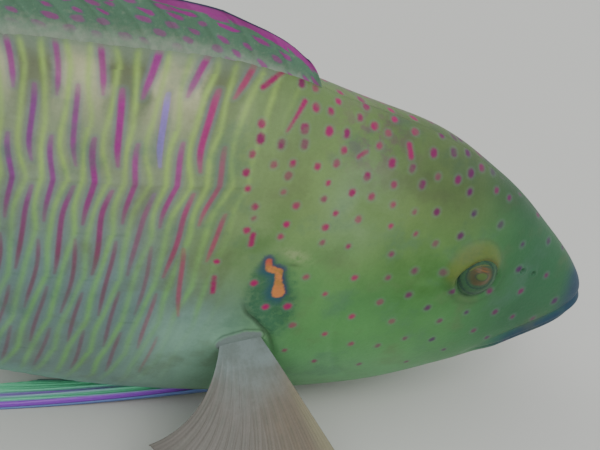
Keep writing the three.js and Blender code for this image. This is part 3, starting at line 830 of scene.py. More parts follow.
def gill_relief(form, x, z, s, t):
    """Gill covers, raised towards a free edge with a slit behind it, and the preopercle's faint edge.

    Also gives the distance from the covers' outline, and how free their edge is.
    """
    cover = np.full(s.shape, 50.0)
    near = (s > 66) & (s < 132)
    cover[near] = outline_distance(GILL_COVER, x[near], z[near])
    free = smooth(96, 112, s + 0.3 * np.minimum(z + 10, 0)) * smooth(9, -5, z)
    rise = form.cover_rise * free * smooth(0.3, -0.9, cover)
    rise -= 0.5 * free * bell(cover - 0.75, 0.55)
    rise -= 0.35 * free * bell(cover + 5.5, 1.6) * smooth(96, 108, s)
    cheek_edge = np.hypot((s - 62) / 26, (t - 2) / 34) - 1
    rise -= 0.28 * bell(cheek_edge * 26, 1.3) * smooth(66, 76, s) * smooth(44, 30, t)
    return rise, cover, free


def mouth_relief(form, stations, s, z):
    """Lips with a line between them, and the level above that line."""
    slope = (MOUTH_CORNER_LEVEL - MOUTH_FRONT_LEVEL) / MOUTH_CORNER
    mouth = z - (MOUTH_FRONT_LEVEL + slope * stations)
    corner = MOUTH_CORNER * LENGTH
    lips = smooth(corner + 1.5, corner - 7, s)
    rise = form.lip_rise * lips * (bell(mouth - 1.9, 1.5) + bell(mouth + 1.8, 1.4))
    rise -= form.mouth_depth * smooth(corner + 1, corner - 2, s) * bell(mouth, 0.34)
    rise -= 0.3 * lips * (bell(mouth - 4.6, 0.7) + bell(mouth + 4.4, 0.7))
    rise -= 0.5 * bell(np.hypot(s - corner - 2, mouth * 0.8), 2.2)
    return rise, mouth


def lid_relief(form, rise, points, normals, s, t, side):
    """The relief with a brow, and with an eyelid that closes onto the eyeball.

    Also gives the distance from the lid's edge and the distance from the brow's middle.
    """
    eye = flank_on(side, EYE_STATION, EYE_LEVEL)
    from_lids = np.linalg.norm(points - eye, axis=-1) + LID_DROP * smooth(-2, 5, t - EYE_PLACE[1])
    from_brow = np.hypot(s - BROW_PLACE[0], t - BROW_PLACE[1])
    rise = rise + form.orbit_rise * bell(from_lids - EYE_OPENING - 1.4, 1.1)
    over_ball = smooth(EYE_OPENING - 0.6, EYE_OPENING + 3.4, from_lids)
    rise += form.brow_rise * smooth(11.4, 6.0, from_brow) * over_ball
    sunk = [flank_normal(EYE_STATION, EYE_LEVEL, face) * EYE_SINK for face in (-1, 1)]
    from_ball = points - eye + np.where((side < 0)[..., None], *sunk)
    along = np.sum(from_ball * normals, axis=-1)
    chord = EYE_RADIUS**2 - np.sum(from_ball**2, axis=-1) + along**2
    onto_ball = np.sqrt(np.maximum(chord, 0)) - along
    closing = smooth(EYE_OPENING + 2.0, EYE_OPENING - 0.3, from_lids)
    under = 0.3 + 2.5 * smooth(EYE_OPENING - 0.3, EYE_OPENING - 2.5, from_lids)
    rise = np.where(closing > 0, rise * (1 - closing) + (onto_ball - under) * closing, rise)
    return rise, from_lids - EYE_OPENING, from_brow


def skin_fields(form, stations, points, normals, s, t, side):
    """The skin's relief along its normals, and what its material reads at each vertex."""
    x, y, z = np.moveaxis(points, -1, 0)
    gills, cover, free = gill_relief(form, x, z, s, t)
    lips, mouth = mouth_relief(form, stations, s, z)
    rise = scale_relief(form, s, t) + gills + lips
    for place, level, radius in NOSTRILS:
        apart = np.linalg.norm(points - flank_on(side, place, level), axis=-1)
        rise += 0.28 * bell(apart - radius - 0.35, 0.45) - 1.1 * smooth(radius, radius * 0.35, apart)
    rise, from_eye, from_brow = lid_relief(form, rise, points, normals, s, t, side)

    # Scaly ridges at the feet of the midline fins, the soft pad of a pectoral fin, and slow waves.
    for fin, up in ((DORSAL, 1), (ANAL, -1)):
        run = smooth(fin["from"] - 0.02, fin["from"] + 0.03, stations)
        run = run * smooth(fin["to"] + 0.04, fin["to"], stations)
        rise += form.sheath_rise * run * bell(y, 3.4) * (np.sign(z) == up)
    ends = [flank_at(*PECTORAL[end], 1) for end in ("front", "rear")]
    from_foot = capsule(x, z, *((end[0], end[2], 0) for end in ends))
    rise += 1.5 * bell(from_foot, 3.8) * (np.abs(y) > 5)
    rise += 0.25 * np.sin(s * 0.11 + 1.3) * np.sin(t * 0.13 + 0.4) * smooth(4, 30, s)

    spot, cold = spot_fields(form, s, t, side)
    mark = np.minimum.reduce([capsule(s, t, a, b) for a, b in zip(MARK, MARK[1:])])
    patch_s, patch_t, wide, tall, tilt = PATCH
    ds, dt = s - patch_s, t - patch_t
    patch = np.hypot((ds - dt * tilt) / wide, (dt + ds * tilt) / tall)
    patch = smooth(1.35, 0.65, patch) * smooth(1.6, -0.4, cover)
    corner = MOUTH_CORNER * LENGTH
    lip = smooth(6.5, 3.0, np.abs(mouth + 0.2)) * smooth(corner + 3, corner - 12, s)
    lip = np.maximum(lip, smooth(13, 4, s) * smooth(20, 9, z))
    brow = smooth(10.8, 7.4, from_brow)
    under_fin = smooth(DORSAL["from"] - 0.01, DORSAL["from"] + 0.05, stations) * (z > 0)
    values = {
        "place": (s, t, side * 40),
        "spots": (spot, cold, mark),
        "zones": (patch, lip, brow),
        "edges": (cover, free, mouth),
        "folds": (from_eye, from_foot + 20 * (np.abs(y) < 5), np.abs(y) + 60 * (1 - under_fin)),
    }
    return rise, {key: np.stack(three, -1) for key, three in values.items()}


def skin_uvs(rings):
    """UVs of the skin's corners, in the order of its faces: trunk, fan at the snout, fan at the rear."""
    margin = 0.005
    u = (np.arange(rings) + 1) / (rings + 1)
    v = np.arange(SKIN_SIDES + 1) / SKIN_SIDES
    grid = np.stack(np.meshgrid(u, v, indexing="ij"), -1) * (1 - 2 * margin) + margin
    trunk = np.stack([grid[:-1, :-1], grid[1:, :-1], grid[1:, 1:], grid[:-1, 1:]], 2)
    middles = [(v[j] + v[j + 1]) / 2 for j in range(SKIN_SIDES)]
    snout = [((0.001, at), grid[0, j], grid[0, j + 1]) for j, at in enumerate(middles)]
    rear = [((0.999, at), grid[-1, j + 1], grid[-1, j]) for j, at in enumerate(middles)]
    return np.concatenate([np.reshape(part, (-1, 2)) for part in (trunk, snout, rear)])


def skin_mesh(form):
    """One closed skin over the whole trunk, from the lips to the scaly foot of the tail fin."""
    stations, points, s, t, side = skin_grid()
    normals = grid_normals(points, wrap=True)
    outward = np.sign(np.sum(normals * (points - points.mean(axis=1, keepdims=True)), axis=-1).mean())
    normals = normals * outward
    rise, values = skin_fields(form, stations[:, None], points, normals, s, t, side)
    skin = points + normals * rise[..., None]

    # Past the root of the tail fin the trunk thins into it.
    tail = []
    for k in range(1, TAIL_RINGS + 1):
        share = k / TAIL_RINGS
        ring = skin[-1].copy()
        ring[:, 0] -= 9.5 * share + 3.0 * share * np.cos(ring[:, 2] / 6.5)
        ring[:, 1] *= 1 - 0.72 * share**0.8
        ring[:, 2] *= 1 - 0.03 * share**3
        tail.append(ring)
    skin = np.concatenate([skin, np.array(tail)])
    for key, value in values.items():
        values[key] = np.concatenate([value, np.repeat(value[-1:], TAIL_RINGS, axis=0)])
    values["place"][-TAIL_RINGS:, :, 0] = -skin[-TAIL_RINGS:, :, 0]

    snout = np.array([[0.25, 0, -0.2]])
    end = skin[-1].mean(axis=0, keepdims=True)
    verts = np.concatenate([snout, skin.reshape(-1, 3), end])
    for key, value in values.items():
        values[key] = np.concatenate([value[0, :1], value.reshape(-1, 3), value[-1, :1]])
    faces, uvs = tube_faces(len(skin), SKIN_SIDES), skin_uvs(len(skin))
    return build_mesh("skin", settle(verts), faces, uvs, values)


def around(s, t, at_s, at_t, wide, high):
    """1 at a place of the skin, falling off over a width and a height."""
    return (s - at_s).bell(wide) * (t - at_t).bell(high)


def head_colour(shader, tones, s, t, lip, place, broad, mottle):
    """Green skin from the nape to the lips, without its spots."""
    smears = shader.noise(place, 0.2, 4, 0.6).step(0.42, 0.62)
    return shader.layers(
        tones.cheek,
        ((t.step(6, 42) * s.step(30, 60)).stir(broad, 0.8), tones.nape),
        (s.step(66, 24) * 0.92, tones.snout),
        (t.step(-2, -32) * 0.8, tones.throat),
        ((around(s, t, 64, 19, 20, 14) * (0.3 + mottle * 1.2)).least(1) * 0.72, tones.olive),
        (around(s, t, 94, 42, 10, 13) * broad.step(0.3, 0.6) * 0.5, tones.haze),
        (around(s, t, 92, 62, 13, 11) * smears * 0.6, tones.smear),
        ((lip + (mottle - 0.5) * 0.3 * lip.step(0, 0.3)).least(1), tones.lip),
    )


def flank_pattern(shader, form, s, t, side):
    """Marks on the lattice: strokes, their surround, scale edges, pale strokes and the rows' joins."""
    u, level = s - column_lean(s, t), row_level(s, t)
    line_width = t.step(44, 14) * 0.16 + 0.84
    strokes, halo, lines, pale, joins = 0.0, 0.0, 0.0, 0.0, 0.0
    for parity in (0.0, 0.5):
        row = (level - ROW_AT) / (2 * ROW_PITCH) + parity
        row_id = round(row)
        v = (row - row_id) * (2 * ROW_PITCH)
        column = (u - COLUMN_AT) / SCALE_PITCH + parity
        column_id = round(column)
        x = (column - column_id) * SCALE_PITCH
        first, second, third = shader.chance(shader.join(row_id, column_id + side, parity))
        centre_u = u - x
        centre_t = (row_id - parity) * (2 * ROW_PITCH) + ROW_AT

        # A stroke is longest a little over the lateral line, and short next to the head.
        half = (centre_t - 28).bell(36) * 4.8 + centre_t.step(40, 14) * 2.6 + 7.2 + first * 1.8
        half = half * (1 - centre_t.step(56, 68) * 0.2)
        half = half * (centre_u.step(131, 142) * 0.55 + 0.45) * (1 - centre_u.step(205, 290) * 0.3)
        own_lean = centre_t.step(12, 0) * 0.08 + (centre_t - 54).bell(8) * 0.03
        own_lean = own_lean + (centre_t - 2).bell(8) * centre_u.step(148, 141) * 0.18
        own_lean = own_lean - centre_t.step(62, 68) * centre_u.step(174, 162) * 0.18
        bend = (v * 0.17 + second * 6).wave() * 0.4 + own_lean * v
        past_end = (abs(v) - half).most(0)
        along = v / half
        taper = 1 - along.step(-0.4, -1.15) * 0.4 - along.step(0.8, 1.1) * 0.2
        wide = form.stroke_width * (0.88 + third * 0.2) * (centre_t.step(-30, 40) * 0.3 + 0.7) * taper
        inside = wide - ((x - bend) * (x - bend) + past_end * past_end) ** 0.5

        # Which strokes show, which of them is pale, and how bold the others are.
        shown = centre_u.above(134.4 - (centre_t - 21.6).bell(5) * 2) * centre_t.above(-34)
        shown = shown * (1 - centre_t.above(80)) * level.step(81, 77)
        faint = (centre_u - 156 + (21 - centre_t).most(0) * 0.4).bell(3.2)
        bold = (centre_t.step(-40, 46) * 0.54 + 0.46) * (0.78 + third * 0.2) * (1 - faint * 0.3)
        bold = bold * (1 - along.step(-0.4, -1.1) * 0.5) * (1 - along.step(0.6, 1.05) * 0.45)
        strokes = inside.step(-0.45, 0.45) * shown * bold + strokes
        pale = inside.step(-0.3, 0.2) * shown * faint + pale
        halo = inside.step(-1.5, -0.3) * shown * bold + halo

        edge = SCALE_PITCH / 4 + (v * (math.pi / ROW_PITCH) + math.pi / 2).wave() * (SCALE_BULGE / 2)
        from_line = x - edge + (v * 0.3 + second * 3).wave() * 0.25
        lines = from_line.bell(line_width) * (0.66 + first * 0.34) + lines
        joins = (abs(v) - ROW_PITCH).bell(0.5) * abs(x).step(SCALE_PITCH / 4, 1.0) + joins
    return strokes.least(1), halo.least(1), lines.least(1), pale.least(1), joins


def flank_colour(shader, tones, form, s, t, side, ridge, place, broad, mottle):
    """The scaly flank with its strokes, darker to the rear, and how strong its scale edges are."""
    low = t.step(50, 2)
    high = t.step(50, 68) * s.step(130, 146)
    breast = t.step(4, -14) * s.step(154, 134)
    shadows = shader.noise(shader.join(s, t * 0.6, side), 0.075, 3, 0.6).step(0.5, 0.66)
    blotch = ((s - column_lean(s, t) - 166) * 0.272 + 1.57).wave().stir(mottle, 1.6).step(-0.3, 0.7)
    flank = shader.layers(
        tones.flank_high,
        (low.stir(broad, 0.5), tones.flank_low),
        (s.step(158, 132) * t.step(-10, 20) * 0.75, tones.nape),
        (shadows * t.step(52, 40) * 0.32, tones.blotch),
        (high * 0.9 * (1 - blotch), tones.cream),
        (high * 0.85 * blotch, tones.blotch),
        (breast.most(t.step(-38, -54)), tones.breast),
    )
    hatch = shader.noise(shader.join(s * 0.5, t * 0.12, side), 0.7, 3)
    flank = shader.shade(flank, 0.86 + hatch * 0.28)

    strokes, halo, lines, pale, joins = flank_pattern(shader, form, s, t, side)
    here = (s - (t - 22).bell(14) * 4 + (t - 74).bell(9) * 10).step(122, 136)
    uneven = 0.5 + mottle * 0.7 - shadows * 0.2
    lines = lines * here * (1 - breast * 0.85) * t.step(-54, -36) * uneven
    before_tail = s.step(235, 200)
    flank = shader.layers(
        flank,
        (ridge.stir(mottle, 5).step(8, 3) * before_tail * 0.7, tones.ridge),
        (lines * 0.86, shader.blend(low, tones.line_high, tones.line_low)),
        (halo * 0.5 * here, tones.halo),
    )
    joins = joins * here * (1 - breast) * mottle.step(0.4, 0.65) * t.step(48, 40)
    flank = shader.shade(flank, 1 - joins * 0.14)

    violet = s.step(160, 196) * t.step(10, 40) * (1 - t.step(56, 66) * 0.7)
    stroke_tone = shader.layers(
        tones.stroke_high,
        (t.step(46, 2), tones.stroke_low),
        (violet * 0.7, tones.stroke_rear),
        (s.step(154, 138) * 0.8, tones.stroke_head),
        (pale * t.step(30, 44), tones.lilac),
    )
    stroke_tone = shader.shade(stroke_tone, 0.7 + shader.noise(place, 0.35, 2) * 0.6)
    rear = (s.stir(broad, 70) + (t + 10) * 0.15).step(196, 312)
    flank = shader.layers(
        flank,
        (strokes * 0.97, stroke_tone),
        (rear * 0.88, tones.rear),
        (strokes * rear * 0.55, tones.stroke_rear),
        (lines * rear * 0.14, tones.line_low),
        (ridge.step(3.4, 1.6) * before_tail * 0.6, tones.ridge),
    )
    return flank, lines


def skin_material(tones, form):
    """Skin of the head and trunk, worked out from the places and zones that its mesh keeps."""
    shader = Shader("wrasse_skin")
    s, t, side = shader.vertex("place")
    spot, cold, mark = shader.vertex("spots")
    patch, lip, brow = shader.vertex("zones")
    cover, free, mouth = shader.vertex("edges")
    from_eye, from_fin, ridge = shader.vertex("folds")
    place = shader.join(s, t, side)
    broad = shader.noise(place, 0.035, 4)
    mottle = shader.noise(place, 0.16, 3)
    torn = shader.noise(place, 0.45, 4, 0.6)
    fine = shader.noise(place, 0.9, 4, 0.6)

    head = head_colour(shader, tones, s, t, lip, place, broad, mottle)
    flank, lines = flank_colour(shader, tones, form, s, t, side, ridge, place, broad, mottle)
    skin = shader.blend(s.step(98, 134), head, flank)
    skin = shader.shade(skin, 0.8 + shader.noise(place, 0.07, 3) * 0.4)

    # Clouds over the whole skin, the brow over the eye, and the darker crown: partly its own tone, partly painted
    # shade.
    warm = shader.noise(shader.join(s, t + 90, side), 0.055, 4, 0.6)
    over_eye = brow * t.step(14, 21)
    skin = shader.layers(
        skin,
        (warm.step(0.52, 0.72) * 0.38, tones.blotch),
        (warm.step(0.47, 0.3) * 0.38, tones.cool),
        (over_eye * (0.28 + fine * 0.32), tones.brow),
        (over_eye * from_eye.step(3.6, 0.4) * mottle.step(0.3, 0.6) * 0.6, tones.lid),
    )
    # The darker top of the head, partly its own darker tone and partly painted shade.
    crown_tone_and_shade = (t - (s - 60).most(0) * 0.45).step(22, 48) * s.step(140, 112) * (1 - s.step(80, 104) * 0.55)
    # A thin dark line of painted shade round the brow's edge, where it meets the head.
    skin = shader.shade(
        skin,
        1 - (brow - 0.25).bell(0.22) * (1 - s.step(50, 62) * 0.7) * 0.12,
        1 - crown_tone_and_shade * (0.28 + mottle * 0.16),
        1 - (s - 56).bell(22) * t.step(34, 52) * 0.2,
    )

    # The gill flap's dark patch, with a dark cloud behind it, a pale streak over it and painted shade in a crease.
    cloud = around(s + (t - 25) * 0.5, t, 122, 25, 6, 12) * mottle.step(0.25, 0.6)
    streak = (t - 23 - (s - 110) * 0.2).bell(2.2) * (s - 109).bell(4.4) * torn.step(0.3, 0.6)
    patch = (patch + (torn - 0.5) * 1.9 * patch.step(0, 0.3)).least(1)
    skin = shader.layers(
        skin,
        (cloud * 0.34, tones.olive),
        (patch * (0.48 + fine * 0.5), tones.patch),
        (streak * 0.34, tones.cream),
    )
    # Painted shade of a short crease ahead of the mark's top.
    skin = shader.shade(skin, 1 - around(s, t, 108.4, 19.4, 2.0, 0.7) * 0.35)

    # Spots, and the orange mark inside its rim.
    spot_tone = shader.shade(shader.blend(cold, tones.spot_warm, tones.spot_cold), 0.6 + mottle * 0.7)
    strength = (0.62 + mottle.step(0.36, 0.56) * 0.35) * (1 - t.step(46, 26) * s.step(104, 94) * 0.12)
    behind_mark = (s - 111.5 - (t - 13) * 0.5).step(-0.6, 1.2) * t.step(21, 15)
    dull = (t - 15).bell(3.5) * torn.step(0.35, 0.6)
    mark_tone = shader.layers(
        tones.mark,
        (dull * 0.7, tones.brow),
        ((t.step(17, 20) * 0.8).stir(fine, 0.9), tones.mark_top),
    )
    skin = shader.layers(
        skin,
        (spot.step(1.2, 0.1) * 0.17, tones.spot_ring),
        (spot.stir(fine, 0.7).step(0.5, -0.7) * strength, spot_tone),
        (mark.stir(torn, 3.4).step(2.0 + behind_mark * 2.0, 0.2) * 0.72,
         shader.blend(behind_mark, tones.rim, tones.rim_rear)),
        (mark.stir(fine, 0.9).step(0.4, -0.5), mark_tone),
    )

    # Painted shade in the folds: the gill slit, the eye's rim, a pectoral fin's pad, and the mouth's line.
    slit = cover.step(-0.2, 0.5) * cover.step(2.0, 0.9) * free
    # Painted shade in the gill slit and in the groove under the eye.
    skin = shader.shade(
        skin,
        1 - slit * (t.step(6, 0) * 0.35 + 0.15),
        1 - (from_eye - 3.2).bell(0.9) * t.step(24, 16) * 0.14,
    )
    foot_s, foot_t = FIN_FOOT_PLACE
    along_foot = (s - foot_s) * FIN_FOOT_ALONG[0] + (t - foot_t) * FIN_FOOT_ALONG[1]
    from_pad = from_fin + (abs(along_foot) - 3.5).most(0) * 0.35
    # The eye's rim, its own darker green with painted shade where the lid meets the eyeball, and the pad's own paler
    # skin.
    skin = shader.layers(
        skin,
        (from_eye.step(1.5, 0.4) * (0.25 + t.step(22, 15) * 0.35), tones.orbit),
        (from_pad.stir(torn, 1.6).step(3.3, 2.1) * (0.7 + mottle * 0.3), tones.pad),
    )
    # Painted shade in the crease over the pad and in the line of the mouth, and an uneven grain.
    skin = shader.shade(
        skin,
        1 - (from_pad - 3.4).bell(0.4) * t.step(-16, -11) * 0.42,
        1 - abs(mouth).step(0.9, 0.2) * lip * 0.75,
        0.9 + fine * 0.2,
    )
    height = fine * 0.12 + lines * 0.12 + mottle * 0.1
    return shader.finish(
        skin, 0.42 + mottle * 0.16, height, coat_weight=0.06, coat_roughness=0.35, specular_ior_level=0.28
    )


def eye_mesh(name, side):
    """An eyeball whose iris is a shallow dish with the lens bulging through it."""
    rings, sides = 71, 96
    dish, lens, front = 0.4, 0.25, 1.2  # depth, height, and the angle from the gaze where both end
    facing = flank_normal(EYE_STATION, EYE_LEVEL, side)
    centre = flank_at(EYE_STATION, EYE_LEVEL, side) - facing * EYE_SINK
    gaze = unit(facing + np.array([-0.1, 0, 0.2]))
    ahead = unit(np.array([1.0, 0, 0]) - gaze * gaze[0])
    up = np.cross(gaze, ahead) * side * -1
    polar = np.pi * (np.arange(1, rings + 1) / (rings + 1)) ** 1.25
    turns = 2 * np.pi * np.arange(sides) / sides
    from_axis = EYE_RADIUS * np.sin(polar)
    radius = EYE_RADIUS - dish * bell(from_axis - 3.6, 1.3) * (polar < front)
    radius += lens * bell(from_axis, 1.9) * (polar < front)
    flat = (radius * np.sin(polar))[:, None]
    x, y = flat * np.cos(turns), flat * np.sin(turns)
    out = (radius * np.cos(polar))[:, None] * np.ones(sides)
    body = centre + x[..., None] * ahead + y[..., None] * up + out[..., None] * gaze
    tips = centre + gaze * (EYE_RADIUS + lens), centre - gaze * EYE_RADIUS
    verts = np.concatenate([[tips[0]], body.reshape(-1, 3), [tips[1]]])
    faces = tube_faces(rings, sides)
    if side < 0:
        faces = [face[::-1] for face in faces]
    gaze_place = np.stack([x, y, out], -1).reshape(-1, 3)
    gaze_place = np.concatenate([[[0, 0, EYE_RADIUS]], gaze_place, [[0, 0, -EYE_RADIUS]]])
    return build_mesh(name, pose(verts), faces, values={"gaze": gaze_place})


def eye_material(tones):
    """Green rings round an iris with orange lines, and a small pupil whose green is a painted reflection. The mesh
    keeps x ahead and y up.
    """
    shader = Shader("wrasse_eye")
    x, y, out = shader.vertex("gaze")
    place = shader.join(x, y, out)
    wobble = (shader.noise(place, 0.55, 3) - 0.5) * 1.6
    rings = (((x * x + y * y) ** 0.5 + wobble) * 3.1).wave().step(0.1, 0.8)
    iris_reach = (x * x * 0.78 + y * y * 1.25) ** 0.5 + wobble * 0.25
    pupil_reach = (x * x * 0.55 + y * y * 1.5) ** 0.5
    lined = (y * 7.5 + x * 1.2 + wobble * 2).wave().step(-0.2, 0.8)
    bright = (y - 1.7).bell(1.3) * (x - 0.2).bell(2.4) * (0.35 + lined * 0.65)
    rosy = (x * 0.6 - y).step(0.2, 3.2) * 0.3
    iris = shader.blend(bright.most(rosy), tones.iris_dark, tones.iris)
    speck = shader.noise(place, 2.4, 2).step(0.6, 0.72) * iris_reach.step(4.0, 4.8)
    ball = shader.layers(
        tones.white,
        (rings * 0.55 + shader.noise(place, 1.6, 3).step(0.4, 0.7) * 0.3, tones.ring),
        (iris_reach.step(4.6, 3.6) * 0.4, tones.ring),
        ((iris_reach + wobble * 0.5).step(4.4, 2.8) * 0.8, iris),
        (pupil_reach.step(2.0, 1.6) * 0.5, tones.ring),
        # The pupil, green as a painted reflection.
        (pupil_reach.step(1.7, 1.1) * 0.9, tones.pupil),
        (speck * 0.4, tones.iris_dark),
    )
    return shader.finish(ball, 0.42, coat_weight=0.12, coat_roughness=0.12, specular_ior_level=0.2)


def fin_mesh(name, middle, half, rays, per_ray, rows=FIN_ROWS):
    """A closed fin on a grid of fine columns, with both faces alike.

    Middle gives points of its mid plane, and half gives half its thickness, from arrays of ray and out.
    """
    ray = np.linspace(0, rays - 1, (rays - 1) * per_ray + 1)[:, None]
    out = (np.arange(rows + 1) / rows)[None, :]
    ray, out = np.broadcast_arrays(ray, out)
    mid = middle(ray, out)
    thick = half(ray, out)[..., None] * grid_normals(mid)
    columns = mid.shape[0]
    verts = np.concatenate([(mid + thick).reshape(-1, 3), (mid - thick).reshape(-1, 3)])
    near = np.arange(columns * (rows + 1)).reshape(columns, rows + 1)
    far = near + near.size
    loop = np.concatenate([near[:, 0], near[-1, 1:], near[-2::-1, -1], near[0, -2:0:-1]])
    after = np.roll(loop, -1)
    parts = [
        np.stack([near[:-1, :-1], near[1:, :-1], near[1:, 1:], near[:-1, 1:]], -1),
        np.stack([far[:-1, :-1], far[:-1, 1:], far[1:, 1:], far[1:, :-1]], -1),
        np.stack([loop, loop + near.size, after + near.size, after], -1),
    ]
    faces = np.concatenate([part.reshape(-1, 4) for part in parts])

    # UVs: both faces side by side, and the rim in a strip above them.
    across = ray.ravel() / (rays - 1) * 0.48
    u = np.concatenate([across + 0.01, across + 0.51])
    v = np.tile(out.ravel() * 0.9 + 0.02, 2)
    uvs = np.stack([u, v], -1)[faces]
    rim = len(faces) - len(loop)
    uvs[rim:, :, 0] = (np.arange(len(loop))[:, None] + np.array([0, 0, 1, 1])) / len(loop)
    uvs[rim:, :, 1] = 0.95 + 0.04 * np.array([0, 1, 1, 0])

    steps = np.linalg.norm(np.diff(mid, axis=1), axis=2)
    run = np.concatenate([np.zeros((columns, 1)), np.cumsum(steps, axis=1)], axis=1)
    fin_place = np.stack([ray, out, run[:, -1:] - run], -1).reshape(-1, 3)
    values = {"fin": np.tile(fin_place, (2, 1)), "spot": verts}
    return build_mesh(name, settle(verts), faces.tolist(), uvs.reshape(-1, 2), values)


def ray_ridges(ray, out, spines, spacing, forks):
    """Height from 0 to 1 of the rays, of which those past the spines have joints and fork twice."""
    nearest = np.round(ray)
    off = (ray - nearest) * spacing
    soft = nearest > spines
    first = forks * smooth(0.3, 0.75, out) * soft
    second = forks * 0.45 * smooth(0.6, 0.95, out) * soft
    width = (0.5 - 0.2 * out) * (1 - 0.3 * soft * out)
    branches = [bell(off - a * first - b * second, width) for a in (-1, 1) for b in (-1, 1)]
    joints = 1 - 0.22 * soft * (np.sin(out * 90) > 0.7) * smooth(0.25, 0.4, out)
    return np.maximum.reduce(branches) * joints


def midline_fin(name, form, fin, up):
    """A fin of the back or the belly."""
    length, angle = through(fin["length"]), through(fin["angle"])
    last = fin["rays"] - 1
    spacing = (fin["to"] - fin["from"]) * LENGTH / last

    def middle(ray, out):
        station = mix((fin["from"], fin["to"]), ray / last)
        soft = smooth(fin["spines"] - 0.5, fin["spines"] + 1.5, ray)
        rim = 1 - (1 - fin["notch"]) * between_rays(ray) * (0.4 - 0.1 * soft)
        rim -= 0.16 * smooth(0.7, 0, ray) ** 2 + 0.13 * smooth(last - 0.9, last, ray) ** 2
        reach = (SINK + length(ray) * LENGTH * rim) * out
        root = np.radians(angle(ray))
        lean = root - np.radians(fin["droop"]) * out * out
        edge = back(station) if up > 0 else belly(station)
        x = -station * LENGTH + SINK * np.cos(root) - reach * np.cos(lean)
        z = edge + up * (reach * np.sin(lean) - SINK * np.sin(root))
        fold = 0.9 * np.sin(ray * np.pi + 0.6) + 0.7 * np.sin(ray * 0.8 + out * 2)
        y = fold * smooth(0.15, 1, out) * (0.5 + 0.9 * soft)
        return np.stack([x, y, z], -1)

    def half(ray, out):
        ridge = ray_ridges(ray, out, fin["spines"], spacing, 1.6)
        firm = 0.5 + 0.5 * smooth(fin["spines"] - 1, fin["spines"] + 1, ray)
        foot = 0.6 * (1 - out) ** 4 + 1.1 * smooth(0.34, 0.14, out)
        return (form.membrane + form.ray_rise * firm * ridge) * (1 - 0.6 * out) + foot

    return fin_mesh(name, middle, half, fin["rays"], 18, 64)


def tail_middle(ray, out):
    """The mid plane of the tail's web, which stops short of where its rays run on."""
    share = 2 * ray / (CAUDAL["rays"] - 1) - 1
    edge = np.where(share > 0, back(1.0), -belly(1.0))
    foot_x = -(CAUDAL["foot"] + 0.01 * share**2) * LENGTH
    foot_z = share * (edge - 1.2)
    web = -CAUDAL["web"] * (1 + 1.8 * between_rays(ray))
    reach = (1 - CAUDAL["foot"] + CAUDAL["length"] + CAUDAL["corner_extra"] * share**2 + web) * LENGTH
    lean = np.radians(CAUDAL["spread"] * share * (0.75 + 0.25 * out))
    x = foot_x - reach * out * np.cos(lean)
    z = foot_z + reach * out * np.sin(lean)
    y = 0.9 * np.sin(ray * 1.3 + out) * smooth(0.2, 1, out)
    return np.stack([x, y, z], -1)


def tail_fringe(form):
    """The rays that run out past the web as soft tapering filaments, each of three strands."""
    draw = np.random.default_rng(form.seed + 5)
    steps, sides = 14, 6
    turns = [2 * math.pi * j / sides for j in range(sides)]
    verts, faces, places = [], [], []
    for ray in range(CAUDAL["rays"]):
        ragged = 0.62 + 0.38 * math.sin(ray * 2.4) * math.cos(ray * 1.1)
        longest = (CAUDAL["fringe"] * ragged + CAUDAL["web"]) * LENGTH
        for strand, (reach, thick) in enumerate(((0.8, 0.46), (1, 0.62), (0.8, 0.46))):
            at = min(max(ray + (strand - 1) * 0.28, 0), CAUDAL["rays"] - 1)
            shares = (0.80 + 0.05 * strand, 0.9, 1.0)
            root, bend, tip = (tail_middle(np.array(at), np.array(out)) for out in shares)
            along = unit(tip - bend)
            run = np.linalg.norm(tip - root) + longest * (0.55 + 0.42 * draw.random()) * reach
            sway, curl = draw.normal(0, 0.055), draw.normal(0, 0.03)
            first = len(verts)
            for k in range(steps + 1):
                share = k / steps
                swing = np.array([0, curl * 0.6, sway]) * run * share * share
                middle = root + along * run * share + swing
                wide = thick * (1 - share) ** 0.7 + 0.1
                for angle in turns:
                    verts.append(middle + wide * np.array([0, 0.62 * math.cos(angle), math.sin(angle)]))
                    places.append((at, 0.85 + 0.5 * share, 2.0))
            for k in range(steps):
                for j in range(sides):
                    a, b = first + k * sides + j, first + k * sides + (j + 1) % sides
                    faces.append((a, b, b + sides, a + sides))
            faces.append(tuple(first + j for j in range(sides))[::-1])
            faces.append(tuple(first + steps * sides + j for j in range(sides)))
    values = {"fin": np.array(places), "spot": np.array(verts)}
    return build_mesh("tail_fringe", pose(verts), faces, values=values)


def tail_fin(form):
    """The web of the tail fin, with its rays."""
    def half(ray, out):
        share = np.abs(2 * ray / (CAUDAL["rays"] - 1) - 1)
        ridge = ray_ridges(ray, out, -1, 4.2, 0.85) + 0.4 * smooth(0.93, 0.99, share)
        return (form.membrane + form.ray_rise * ridge) * (1 - 0.45 * out) + 1.0 * (1 - out) ** 3

    return fin_mesh("tail_fin_web", tail_middle, half, CAUDAL["rays"], 14)


def rest_on_floor(points):
    """Lifts a fin's mid plane so that the fin lies on the floor and not in it."""
    least = floor_at(points[..., 0]) + FIN_LIFT
    points[..., 2] = least + soft_over(points[..., 2] - least, FLOOR_SOFTNESS**2)
    return points


